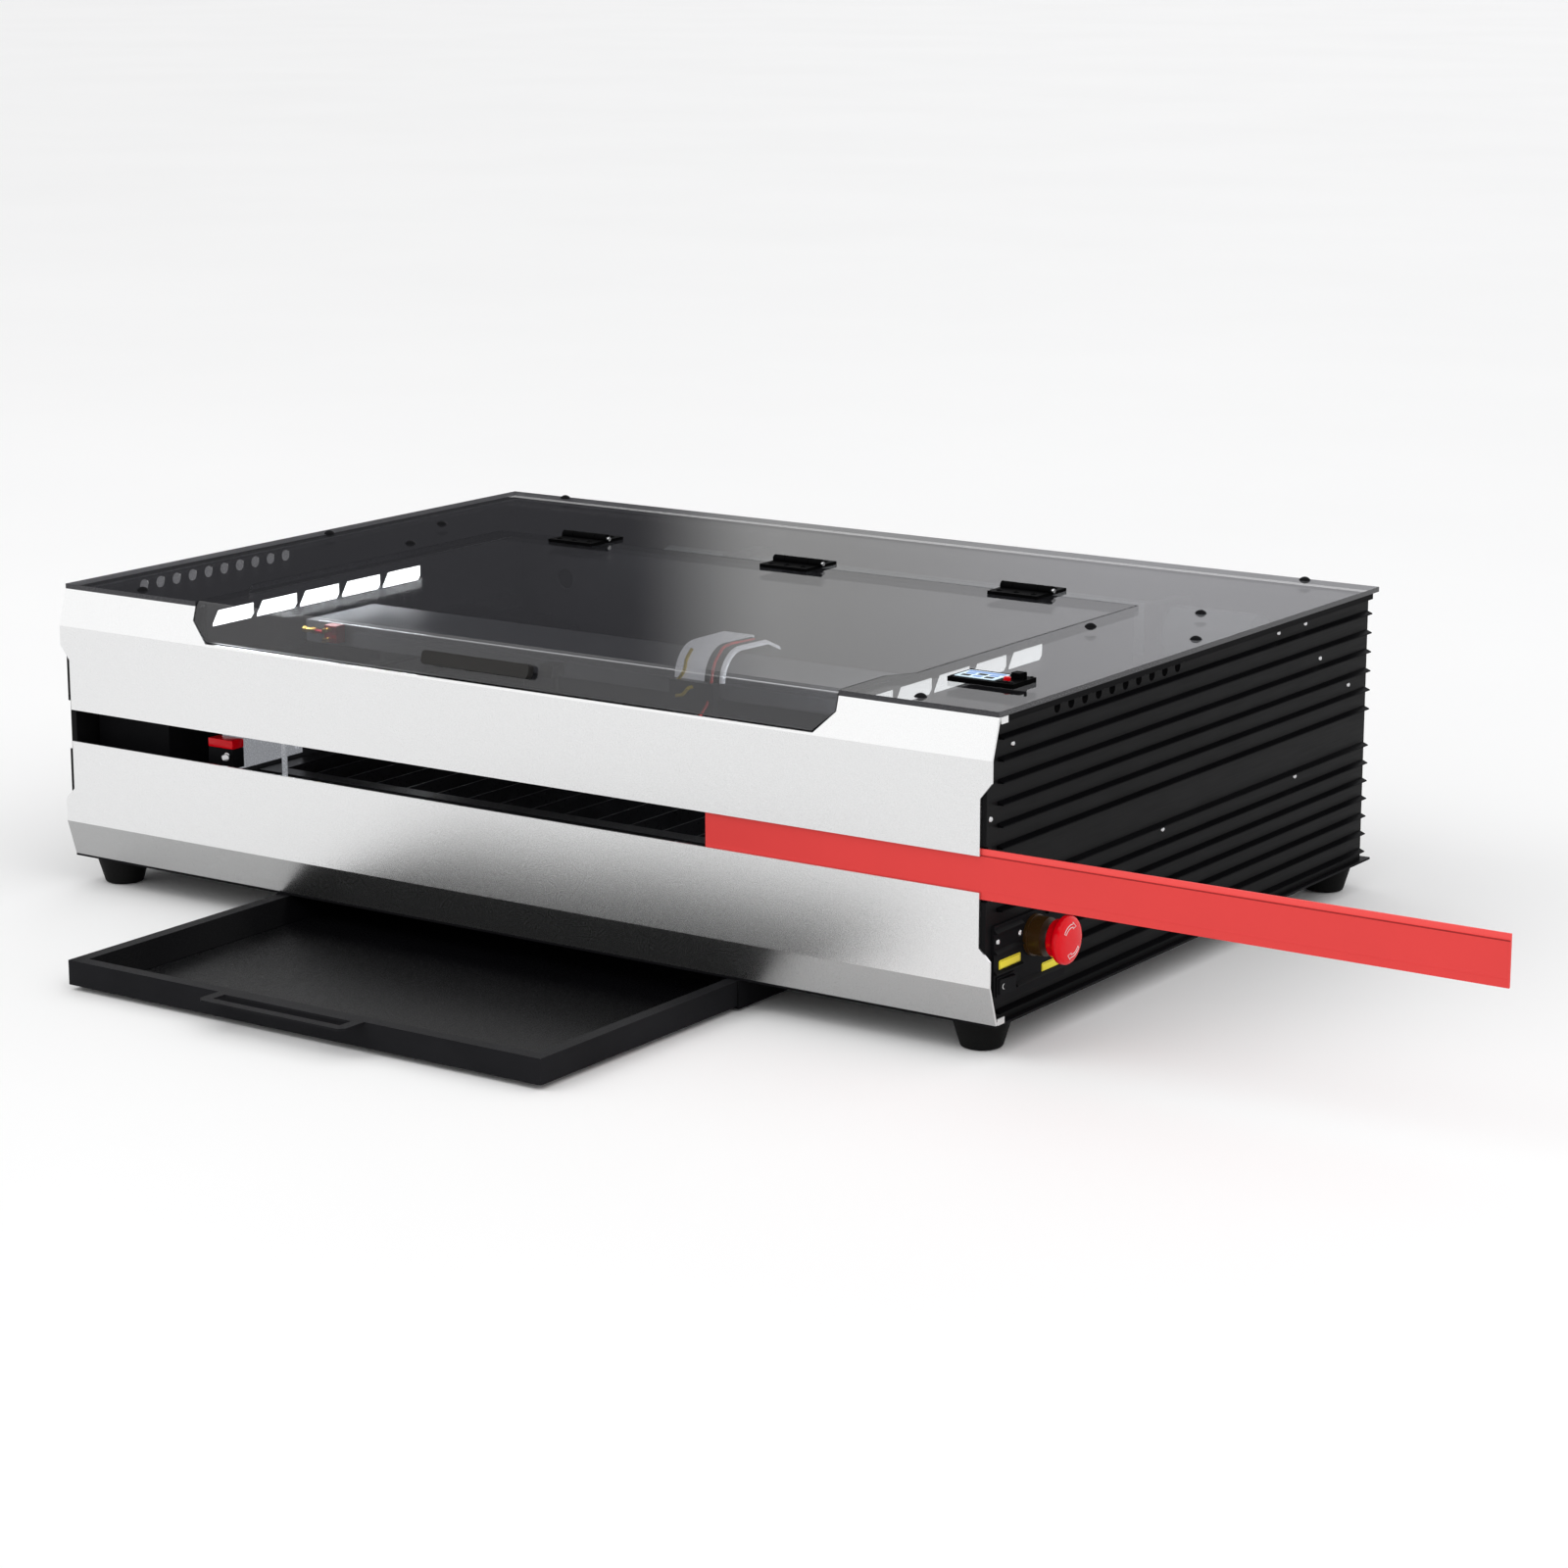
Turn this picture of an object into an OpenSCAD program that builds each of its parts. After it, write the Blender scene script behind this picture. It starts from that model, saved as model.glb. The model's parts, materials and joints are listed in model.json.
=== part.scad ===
// Desktop laser cutter: low wide cabinet with a tinted hinged lid, a front slot with a sliding
// cover, a tray that slides out under the base, a two axis gantry and a lifting slat bed.
// Millimetres, +Z up, +X to the operator's right, +Y to the rear.
// Origin: centre of the cabinet's plan, on the surface that the feet stand on.

/* [Body] */
// Width of the top and base plates
body_w = 1000; // [940:1:1200]
// Depth of the top and base plates
body_d = 664; // [620:1:800]
// Height from the base plate's underside to the top plate's face
body_h = 256; // [245:1:310]
// Thickness of the tinted top plate
top_t = 4.5; // [3:0.5:6]
// Thickness of the base plate
base_t = 2; // [1.5:0.5:4]
// Height of the rubber feet
foot_h = 26; // [22:1:34]
// Radius of a foot where it meets the base
foot_r = 25; // [18:1:27]
// How much narrower a foot is at the floor
foot_taper = 6.8; // [3:0.2:9]

/* [Front panels] */
// Sheet thickness of the front panels
panel_t = 2; // [1.5:0.5:3]
// How far the upright face stands ahead of the plates
bulge = 10; // [10:0.5:14]
// Height of the sloping top and bottom facets
facet_h = 33; // [30:1:38]
// Height of the pass-through slot
slot_h = 29.5; // [20:0.5:34]
// Depth of the slot's top edge below the top face
slot_drop = 115; // [105:1:120]
// Inset of the narrow waist at each end
waist_inset = 10.5; // [6:0.5:12]

/* [Side walls] */
// Thickness of the wall behind its fins
wall_t = 6.5; // [5:0.5:9]
// Length of a fin
fin_l = 5.5; // [3:0.5:7]
// Spacing of the fins
fin_pitch = 17.7; // [15:0.1:20]
// Radius of a vent hole
vent_r = 4.8; // [3:0.1:5]

/* [Lid] */
// Offset of the lid's centre line to the right
lid_x = 5; // [-5:1:10]
// Half width of the lid over its rear part
lid_hw = 359; // [340:1:365]
// How much narrower each side of the front part is
lid_jog = 15; // [5:1:20]
// Depth of the lid from the front edge to the rear seam
lid_d = 457; // [430:1:465]
// Gap around the lid
lid_gap = 1.2; // [0.8:0.1:2]
// Height of the flap that bends down over the front
flap_h = 34; // [28:1:40]
// Length of the handle bar
handle_l = 116; // [80:1:160]
// Radius of a hinge pin
pin_r = 2; // [1.5:0.1:2.4]
// Width of a hinge
hinge_w = 52; // [40:1:70]

/* [Slot cover] */
// Length of the sliding cover
cover_l = 713; // [600:1:980]
// Position of the cover's left end when slid open
cover_x = 224.3; // [150:0.1:300]
// Sheet thickness of the cover
cover_t = 2; // [1:0.5:2.5]
// How far the cover reaches behind the panels above and below the slot
cover_lap = 5.7; // [4:0.1:7]

/* [Waste tray] */
// Outer half width of the tray
tray_hw = 251; // [220:1:260]
// Depth of the tray, front to back
tray_d = 560; // [480:1:580]
// How far the tray stands out of the cabinet
tray_out = 256.5; // [200:0.5:280]
// Width of the hollow rim
rim_w = 12; // [8:1:16]
// Width of the flat handle plate
tray_handle_w = 155; // [120:1:200]

/* [Gantry] */
// Width of the gantry beam, front to back
beam_d = 95; // [80:1:100]
// Depth of the beam's top below the top face
beam_drop = 35; // [33:1:40]
// Distance from the cabinet's front edge to the beam's front face
beam_y = 131; // [125:1:160]
// Position of the laser head's centre
head_x = 128; // [-150:1:250]
// Pulley radius of both belt drives
pulley_r = 8; // [6:0.5:9]

/* [Bed] */
// Depth of the bed's top below the top face
bed_drop = 166; // [160:1:175]
// Height of the bed frame
bed_h = 22; // [16:1:26]
// Diameter of a lifting screw
screw_d = 5; // [4:0.5:8]
// Number of slats
slat_n = 17; // [9:1:21]

/* [Emergency stop] */
// Radius of the mushroom head
estop_r = 20; // [16:0.5:22]
// How far the head stands out from the side
estop_out = 33; // [31:0.5:38]

/* [Hidden] */
$fn = 48;

// small differences that keep moving pieces apart and cuts clean
gap = 0.3;
run_gap = 0.06;
cut = 1;

// planes of the cabinet
hw = body_w / 2;
yf = -body_d / 2;
yb = body_d / 2;
z0 = foot_h;
zb = z0 + base_t;
zt = z0 + body_h;
zu = zt - top_t;
y_face = yf - bulge;
wall_x = hw - fin_l;
wall_in = wall_x - wall_t;
y_wall_end = yb - 12;
z_slot_top = zt - slot_drop;
z_slot_bot = z_slot_top - slot_h;
z_mid = (z_slot_top + z_slot_bot) / 2;
z_crease_top = zu - facet_h;
z_crease_bot = zb + facet_h;
facet_slope = atan(bulge / facet_h);
rear_t = 2;
flange = 12;
flange_h = 5;
fin_start = 8;
tab_h = 5.5;

// inner walls, which also carry the lid
in_t = 3;
in_x = lid_hw - 13;
in_left = lid_x - in_x;
in_right = lid_x + in_x;
y_part = yf + 470;
y_in_front = yf + flange;

// slot cover and its guides
cover_y = y_face + panel_t + gap;
cover_z1 = z_slot_top + cover_lap;
cover_z0 = z_slot_bot - cover_lap;
fold_h = 5;
guide_lip = 3;
guide_back = cover_y + cover_t + gap;
guide_z1 = cover_z1 + gap;
guide_z0 = cover_z0 - gap;

// tray and housing
tray_x = 1;
run_t = 1.6;
tray_gap = 0.5;
tray_zb = z0 - foot_h + 2 + run_t + tray_gap;
tray_zt = z0 - tray_gap;
tray_y0 = yf - tray_out - bulge;
tray_y1 = tray_y0 + tray_d;
tray_t = 1.5;
handle_plate_t = 2;
open_x = 200;
open_y0 = yf + 100;
open_y1 = yf + 385;

// lid and hinges
lid_front_hw = lid_hw - lid_jog;
jog_y0 = yf + 70;
jog_y1 = yf + 93;
lid_back = yf + lid_d;
flap_zb = zt - flap_h;
flap_chamfer = 19;
bend_r = 6;
barrel_r = 4.2;
leaf_t = 3;
hinge_y = lid_back + lid_gap / 2;
hinge_z = zt + barrel_r;
hinge_xs = [-250, 0, 250];
leaf_d = 26;

// gantry
beam_x0 = in_left + 16;
beam_x1 = in_right - 16;
beam_y0 = yf + beam_y;
beam_y1 = beam_y0 + beam_d;
beam_zt = zt - beam_drop;
beam_zb = beam_zt - 20;
rail_w = 12;
rail_h = 15;
rail_zt = beam_zb - 3;
rail_zb = rail_zt - rail_h;
y_rail_front = yf + 30;
y_rail_back = y_part - 12;
shaft_y = y_part - 24;
shaft_z = rail_zb - 30;
belt_w = 6;
belt_t = 1.5;
belt_y0 = yf + 40;
x_belt_z = beam_zb - 22;
x_belt_y = beam_y0 - 12;
x_motor_x = beam_x1 - 40;
x_idler_x = beam_x0 + 62;
motor_s = 42;
motor_l = 34;
beam_mirror_x = beam_x0 + 39;
optic_z = beam_zt - 8;
head_w = 46;
x_rail_h = 12;
x_rail_d = 8;

// bed and lifting screws
bed_zt = zt - bed_drop;
bed_zb = bed_zt - bed_h;
bed_x0 = in_left + in_t / 2 + 6;
bed_x1 = in_right - in_t / 2 - 6;
bed_y0 = yf + 70;
bed_y1 = yf + 392;
bed_bar = 18;
screw_xl = bed_x0 + 44;
screw_xr = bed_x1 - 44;
screw_yf = bed_y0 - 14;
screw_yr = bed_y1 + 14;
screw_r = screw_d / 2;
ear_r = 11;
screw_top = bed_zt + 66;
lift_pulley_r = 9;
lift_belt_z = zb + 8;
boss_h = 5;

// emergency stop, rocker and control plate
estop_y = yf + 62;
estop_z = zt - 193;
plate_y0 = yf + 1;
plate_y1 = yf + 112;
plate_z1 = zt - 173;
plate_z0 = zt - 238;
plate_t = 2.5;
plate_x = wall_x + plate_t;
rocker_y = yf + 18;
rocker_z = zt - 224;
rocker_w = 24;
rocker_h = 13;
stem_r = 6;

// display module on the top plate
disp_x = 433;
disp_y = yf + 98;
disp_w = 62;
disp_d = 36;
disp_t = 4;
button_x = disp_x + 18;
button_y = disp_y - 6;
button_r = 3;

// laser tube, exhaust and electrics
tube_y = y_part + 96;
tube_r = 25;
tube_x0 = beam_mirror_x + 42;
tube_l = 690;
duct_x = 240;
duct_z = z0 + 112;
duct_r = 50;
duct_t = 3;
duct_out = 20;
fan_r = 45;

// a box between two corners
module box(x0, x1, y0, y1, za, zb_) {
  translate([x0, y0, za]) cube([x1 - x0, y1 - y0, zb_ - za]);
}

// a Y-Z outline drawn out along X between two positions
module along_x(x0, x1) {
  translate([x0, 0, 0]) rotate([90, 0, 90]) linear_extrude(x1 - x0) children();
}

// an X-Z outline drawn out along Y between two positions
module along_y(y0, y1) {
  translate([0, y1, 0]) rotate([90, 0, 0]) linear_extrude(y1 - y0) children();
}

// a rod along X or Y
module rod_x(x0, x1, y, z, r) {
  translate([x0, y, z]) rotate([0, 90, 0]) cylinder(r = r, h = x1 - x0);
}

module rod_y(y0, y1, x, z, r) {
  translate([x, y1, z]) rotate([90, 0, 0]) cylinder(r = r, h = y1 - y0);
}

module rod_z(za, zc, x, y, r) {
  translate([x, y, za]) cylinder(r = r, h = zc - za);
}

// points of an arc
function arc(cx, cy, r, a0, a1, n) =
  [for (i = [0 : n]) [cx + r * cos(a0 + (a1 - a0) * i / n), cy + r * sin(a0 + (a1 - a0) * i / n)]];

// a rectangle with round corners, centred
module round_rect(w, h, r) {
  hull_w = w / 2 - r;
  hull_h = h / 2 - r;
  union() {
    square([w, h - 2 * r], center = true);
    square([w - 2 * r, h], center = true);
    for (sx = [-1, 1], sy = [-1, 1]) translate([sx * hull_w, sy * hull_h]) circle(r);
  }
}

// ---------------------------------------------------------------- cabinet

module base_plate() {
  color([0.07, 0.07, 0.075])
  difference() {
    union() {
      box(-hw, hw, yf, yb, z0, zb);
      for (x = [screw_xl, screw_xr], y = [screw_yf, screw_yr]) rod_z(z0, zb + boss_h, x, y, ear_r);
    }
    box(tray_x - open_x, tray_x + open_x, open_y0, open_y1, z0 - cut, zb + cut);
    for (x = [screw_xl, screw_xr], y = [screw_yf, screw_yr])
      rod_z(zb, zb + boss_h + cut, x, y, screw_r + run_gap);
  }
}

// the front end of a side wall follows the panels and steps back for the slot cover
module wall_outline(z_low, z_high) {
  front = y_face + panel_t;
  intersection() {
    polygon([
      [yf + flange, zu], [yf + flange, zu - panel_t], [yf + panel_t, zu - panel_t],
      [front, z_crease_top], [front, guide_z1 + 2], [guide_back, guide_z1 + 2],
      [guide_back, guide_z0 - 2], [front, guide_z0 - 2], [front, z_crease_bot],
      [yf + panel_t, zb + panel_t], [yf + flange, zb + panel_t], [yf + flange, zb],
      [y_wall_end, zb], [y_wall_end, zu]
    ]);
    translate([front - cut, z_low]) square([body_d + bulge, z_high - z_low]);
  }
}

// one fin in X-Z, drooping slightly to a thin tip
module fin_section(z) {
  polygon([
    [wall_x - cut, z + 1.6], [wall_x, z + 1.6], [hw, z - 0.6], [hw, z - 1.5],
    [wall_x, z - 1.9], [wall_x - cut, z - 1.9]
  ]);
}

module fins(z_list, z_low, z_high) {
  intersection() {
    along_y(yf + fin_start, y_wall_end) for (z = z_list) fin_section(z);
    along_x(wall_x - 2, hw + cut) wall_outline(z_low, z_high);
  }
}

fin_top = zt - 22;
upper_fins = [for (z = fin_top; z > z_slot_top + 1; z = z - fin_pitch) z];
lower_n = 6;
lower_pitch = (z_slot_bot - zb - 9) / lower_n;
lower_fins = [for (i = [0 : lower_n]) z_slot_bot - i * lower_pitch];
vent_n = 10;
vent_pitch = 22;
vent_y = yf + 98;
vent_z = zt - 13.6;

module upper_wall() {
  difference() {
    union() {
      along_x(wall_in, wall_x) wall_outline(z_mid, zu);
      fins(upper_fins, z_mid, zu);
      box(wall_in, hw, yf + flange, y_wall_end, zu - flange_h, zu);
    }
    for (i = [0 : vent_n - 1])
      rod_x(wall_in - cut, hw + cut, vent_y + i * vent_pitch, vent_z, vent_r);
  }
}

module lower_wall() {
  along_x(wall_in, wall_x) wall_outline(zb, z_mid);
  fins(lower_fins, zb, z_mid);
}

module left_wall_upper() {
  color([0.09, 0.09, 0.09]) mirror([1, 0, 0]) upper_wall();
}

module left_wall_lower() {
  color([0.09, 0.09, 0.09]) mirror([1, 0, 0]) lower_wall();
}

module right_wall_upper() {
  color([0.09, 0.09, 0.09]) upper_wall();
}

// the fins are cleared and the wall is pierced for the controls
module right_wall_lower() {
  color([0.09, 0.09, 0.09])
  difference() {
    lower_wall();
    box(wall_x, hw + cut, plate_y0, plate_y1, plate_z0, plate_z1);
    rod_x(wall_in - cut, hw, estop_y, estop_z, stem_r + 3);
    box(wall_in - cut, hw, rocker_y - rocker_w / 2, rocker_y + rocker_w / 2,
        rocker_z - rocker_h / 2, rocker_z + rocker_h / 2);
  }
}

module rear_panel() {
  color([0.09, 0.09, 0.09])
  difference() {
    box(-wall_x, wall_x, y_wall_end, y_wall_end + rear_t, zb, zu);
    rod_y(y_wall_end - cut, yb, duct_x, duct_z, duct_r);
    box(-inlet_x - inlet_w / 2, -inlet_x + inlet_w / 2, y_wall_end - cut, yb,
        inlet_z - inlet_h / 2, inlet_z + inlet_h / 2);
  }
}

// plan of the lid, or with g of the opening that it lies in
module lid_plan(g) {
  f = lid_front_hw + g;
  b = lid_hw + g;
  front = y_face - 5 * cut;
  polygon([
    [lid_x - f, front], [lid_x + f, front], [lid_x + f, jog_y0], [lid_x + b, jog_y1],
    [lid_x + b, lid_back + g], [lid_x - b, lid_back + g], [lid_x - b, jog_y1], [lid_x - f, jog_y0]
  ]);
}

module top_plate() {
  color([0.16, 0.16, 0.17, 0.6])
  difference() {
    box(-hw, hw, yf, yb, zu, zt);
    translate([0, 0, zu - cut]) linear_extrude(top_t + 2 * cut) lid_plan(lid_gap);
  }
}

// ends of the front panels: full width at the top and bottom, narrow at the waist
module panel_ends() {
  w = hw - waist_inset;
  up_a = zt - 55.6;
  up_b = up_a - 13;
  low_a = zb + 54.5;
  low_b = low_a + 10;
  polygon([
    [-hw, zu], [-hw, up_a], [-w, up_b], [-w, low_b], [-hw, low_a], [-hw, zb],
    [hw, zb], [hw, low_a], [w, low_b], [w, up_b], [hw, up_a], [hw, zu]
  ]);
}

module front_panel_upper() {
  color([0.9, 0.9, 0.9])
  difference() {
    union() {
      intersection() {
        along_x(-hw, hw) polygon([
          [yf, zu], [y_face, z_crease_top], [y_face, z_slot_top], [y_face + panel_t, z_slot_top],
          [y_face + panel_t, z_crease_top], [yf + panel_t, zu - panel_t],
          [yf + flange, zu - panel_t], [yf + flange, zu]
        ]);
        along_y(y_face - cut, yb) panel_ends();
      }
      for (s = [-1, 1]) translate([s * (hw + 0.5), yf + flange / 2 + 1, zu - tab_h / 2])
        cube([1, flange - 2, tab_h], center = true);
    }
    along_y(y_face - cut, yf + flange + cut) flap_outline(1.5, zt + cut);
    box(lid_x - lid_front_hw - lid_gap, lid_x + lid_front_hw + lid_gap, yf, yf + flange + cut,
        zu - panel_t - cut, zt);
  }
}

module front_panel_lower() {
  color([0.9, 0.9, 0.9]) {
    intersection() {
      along_x(-hw, hw) polygon([
        [yf, zb], [y_face, z_crease_bot], [y_face, z_slot_bot], [y_face + panel_t, z_slot_bot],
        [y_face + panel_t, z_crease_bot], [yf + panel_t, zb + panel_t],
        [yf + flange, zb + panel_t], [yf + flange, zb]
      ]);
      along_y(y_face - cut, yb) panel_ends();
    }
    for (s = [-1, 1]) translate([s * (hw + 0.5), yf + flange / 2 + 1, zb + tab_h / 2])
      cube([1, flange - 2, tab_h], center = true);
  }
}

// windows in the inner walls, sloping at both ends
window_n = 5;
window_pitch = 59.2;
window_y = yf + 21;
window_l = 55;
window_z1 = zt - 12.5;
window_z0 = window_z1 - 13.5;
window_slope = 8;

module windows() {
  for (i = [0 : window_n - 1]) {
    y = window_y + i * window_pitch;
    polygon([
      [y, window_z0], [y + window_l - window_slope / 2, window_z0],
      [y + window_l, window_z0 + window_slope / 2], [y + window_l, window_z1],
      [y + window_slope, window_z1], [y, window_z0 + 2]
    ]);
  }
}

module inner_wall(x, drive_hole) {
  difference() {
    along_x(x - in_t / 2, x + in_t / 2) difference() {
      polygon([
        [y_in_front, zb], [y_part, zb], [y_part, zu], [y_in_front + 2, zu],
        [y_in_front + 2, z_slot_top + 20], [y_in_front + 24, z_slot_top + 6],
        [y_in_front + 24, zb + 90], [y_in_front, zb + 66]
      ]);
      windows();
    }
    if (drive_hole) rod_x(x - in_t, x + in_t, shaft_y, shaft_z, 6);
  }
}

module inner_wall_left() {
  color([0.45, 0.46, 0.48]) inner_wall(in_left, true);
}

module inner_wall_right() {
  color([0.45, 0.46, 0.48]) inner_wall(in_right, false);
}

// partition between the work space and the tube, open where the beam passes
module inner_wall_rear() {
  color([0.45, 0.46, 0.48])
  difference() {
    box(in_left - in_t / 2, in_right + in_t / 2, y_part, y_part + in_t, zb, zu);
    rod_y(y_part - cut, y_part + in_t + cut, beam_mirror_x, optic_z, 10);
    for (i = [-2 : 2]) translate([duct_x + i * 26, y_part - cut, zb + 60]) cube([14, in_t + 2 * cut, 50]);
  }
}

module light_diffusers() {
  color([1, 1, 1]) for (x = [in_left, in_right]) along_x(x - in_t / 2, x + in_t / 2) windows();
}

// channels behind the panels that hold the cover's long edges
module cover_guides() {
  w = wall_in;
  color([0.2, 0.2, 0.2]) for (s = [0, 1]) translate([0, 0, s ? z_slot_top + z_slot_bot : 0])
    mirror([0, 0, s]) along_x(-w, w) polygon([
      [y_face + panel_t, guide_z1 + 2], [y_face + panel_t, guide_z1], [guide_back, guide_z1],
      [guide_back, guide_z1 - guide_lip], [guide_back + 1.5, guide_z1 - guide_lip],
      [guide_back + 1.5, guide_z1 + 2]
    ]);
}

foot_x = hw - 31;
foot_y = yb - 30;

module feet() {
  color([0.05, 0.05, 0.05])
  for (x = [-foot_x, foot_x], y = [-foot_y, foot_y]) translate([x, y, 0]) rotate_extrude()
    polygon([
      [0, 0], [foot_r - foot_taper - 2.2, 0], [foot_r - foot_taper - 0.6, 1],
      [foot_r - foot_taper, 2.5], [foot_r - 0.6, foot_h - 2],
      [foot_r, foot_h], [0, foot_h]
    ]);
}

// runners under the base plate, joined by a thin floor at the back
module tray_housing() {
  h = tray_hw + tray_gap + run_t;
  back = tray_y0 + tray_out + tray_d + bulge;
  z_low = tray_zb - tray_gap - run_t;
  lip = 20;
  color([0.06, 0.06, 0.06]) difference() {
    box(tray_x - h, tray_x + h, yf - 3, back, z_low, z0);
    box(tray_x - h + run_t, tray_x + h - run_t, yf - 3 - cut, back - run_t, z_low + run_t, z0 + cut);
    box(tray_x - h + run_t + lip, tray_x + h - run_t - lip, yf - 3 - cut, back - lip,
        z_low - cut, z0 + cut);
  }
}

// pan head screws: the head's underside is at the origin
module pan_head(r, h) {
  dome = (r * r + h * h) / (2 * h);
  rotate_extrude() polygon(concat([[0, 0]], arc(0, h - dome, dome, acos(r / dome), 90, 6)));
}

module top_screws() {
  places = [
    [hw - 72, yb - 7], [hw - 17, yf + 348], [hw - 71, yf + 456], [hw - 120, yf + 348],
    [hw - 82, yf + 15]
  ];
  color([0.04, 0.04, 0.04]) for (s = [-1, 1], p = places) translate([s * p[0], p[1], zt])
    pan_head(5.4, 3.2);
}

low_screw_z = z_slot_bot - 5.5;
side_places = [
  [yf + 30, zt - 31], [yf - 2, zt - 86], [yf + 478, zt - 14], [yf + 529, zt - 13.6],
  [yf + 560, zt - 50], [yf + 618, zt - 84], [yf + 517, low_screw_z], [yf + 276, low_screw_z],
  [yf + 2, low_screw_z - 1]
];

module side_screws() {
  color([0.8, 0.8, 0.8]) for (s = [-1, 1], p = side_places) translate([s * wall_x, p[0], p[1]])
    rotate([0, s * 90, 0]) pan_head(2.5, 1.6);
  color([0.8, 0.8, 0.8]) for (y = [plate_y0 + 6, plate_y0 + 40]) translate([plate_x, y, plate_z1 - 14])
    rotate([0, 90, 0]) pan_head(2.5, 1.6);
}

// flat plate on the right side that carries the stop button and the rocker switch
module control_plate() {
  rim = 1.5;
  color([0.06, 0.06, 0.06]) difference() {
    union() {
      box(wall_x, plate_x, plate_y0 + gap, plate_y1 - gap, plate_z0 + gap, plate_z1 - gap);
      box(plate_x, plate_x + 1.2, rocker_y - rocker_w / 2 - rim, rocker_y + rocker_w / 2 + rim,
          rocker_z - rocker_h / 2 - rim, rocker_z + rocker_h / 2 + rim);
    }
    rod_x(wall_x - cut, plate_x + cut, estop_y, estop_z, stem_r + 3);
    box(wall_x - cut, plate_x + 2 * cut, rocker_y - rocker_w / 2, rocker_y + rocker_w / 2,
        rocker_z - rocker_h / 2, rocker_z + rocker_h / 2);
  }
}

collar_l = 14;

module estop_collar() {
  color([0.55, 0.4, 0.05]) difference() {
    union() {
      rod_x(wall_in - 16, plate_x, estop_y, estop_z, stem_r + 3);
      rod_x(plate_x, plate_x + 3, estop_y, estop_z, estop_r - 3);
      rod_x(plate_x + 3, plate_x + collar_l, estop_y, estop_z, estop_r - 4);
    }
    rod_x(wall_in - 12, plate_x + collar_l + cut, estop_y, estop_z, stem_r + run_gap);
  }
}

module display_case() {
  color([0.04, 0.04, 0.04]) difference() {
    union() {
      box(disp_x - disp_w / 2, disp_x + disp_w / 2, disp_y - disp_d / 2, disp_y + disp_d / 2,
        zt, zt + disp_t);
      box(button_x - 1, button_x + 7, button_y + 8, button_y + 17, zt + disp_t, zt + disp_t + 5);
      rod_z(zt + disp_t, zt + disp_t + 6, button_x + 10, button_y + 12, 1.2);
    }
    rod_z(zt + disp_t - 2, zt + disp_t + cut, button_x, button_y, button_r + run_gap);
  }
}

module menu_button() {
  color([0.85, 0.05, 0.05]) union() {
    rod_z(zt + disp_t - 0.4, zt + disp_t + 2.6, button_x, button_y, button_r);
    rod_z(zt + disp_t + 2.6, zt + disp_t + 3.2, button_x, button_y, button_r - 0.6);
  }
}

// ---------------------------------------------------------------- lid and hinges

// Y-Z section of the bent lid
module lid_section() {
  out = arc(yf + bend_r, zt - bend_r, bend_r, 90, 180 - facet_slope, 6);
  inn = arc(yf + bend_r, zt - bend_r, bend_r - top_t, 180 - facet_slope, 90, 4);
  p = out[6];
  q = inn[0];
  polygon(concat(
    [[lid_back, zt]], out, [[p[0] - (p[1] - flap_zb) * tan(facet_slope), flap_zb]],
    [[q[0] - (q[1] - flap_zb) * tan(facet_slope), flap_zb]], inn, [[lid_back, zu]]
  ));
}

// front view of the flap, grown by g for the cut in the panel behind it
module flap_outline(g, z_high) {
  w = lid_front_hw + (g > 0 ? lid_gap : 0);
  c = zt - flap_h / 2;
  polygon([
    [lid_x - w, z_high], [lid_x - w, c], [lid_x - w + flap_chamfer, flap_zb - g],
    [lid_x + w - flap_chamfer, flap_zb - g], [lid_x + w, c], [lid_x + w, z_high]
  ]);
}

module lid_glass() {
  color([0.2, 0.2, 0.21, 0.5])
  intersection() {
    along_x(lid_x - lid_hw, lid_x + lid_hw) lid_section();
    translate([0, 0, z0]) linear_extrude(body_h + cut) lid_plan(0);
    union() {
      box(-hw, hw, yf + bend_r, yb, z0, zt + cut);
      along_y(y_face - 10, yf + bend_r) flap_outline(0, zt + cut);
    }
  }
}

handle_x = -13;
handle_h = 12;
handle_t = 7;
handle_z = zt - 20;
latch_x = handle_x + handle_l / 2 + 9;
latch_w = 14;
latch_y = yf + 14;
latch_r = 2.5;

// depth of the flap's outer face at a height
function flap_y(z) = yf + bend_r - bend_r * cos(facet_slope)
  - (zt - bend_r + bend_r * sin(facet_slope) - z) * tan(facet_slope);

// bar on the flap, with a bracket and a latch pin behind its right end
module lid_handle() {
  inner = top_t / cos(facet_slope);
  z0_ = handle_z - 4;
  z1_ = handle_z + 6;
  color([0.2, 0.19, 0.18]) {
    translate([handle_x, flap_y(handle_z), handle_z]) rotate([90 - facet_slope, 0, 0])
      linear_extrude(handle_t) round_rect(handle_l, handle_h, 4);
    along_x(latch_x - latch_w / 2, latch_x + latch_w / 2) polygon([
      [flap_y(z0_) + inner, z0_], [latch_y + 4, z0_], [latch_y + 4, z1_], [flap_y(z1_) + inner, z1_]
    ]);
    rod_z(handle_z - 26, z0_, latch_x, latch_y, latch_r);
  }
}

end_w = 13;

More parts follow.
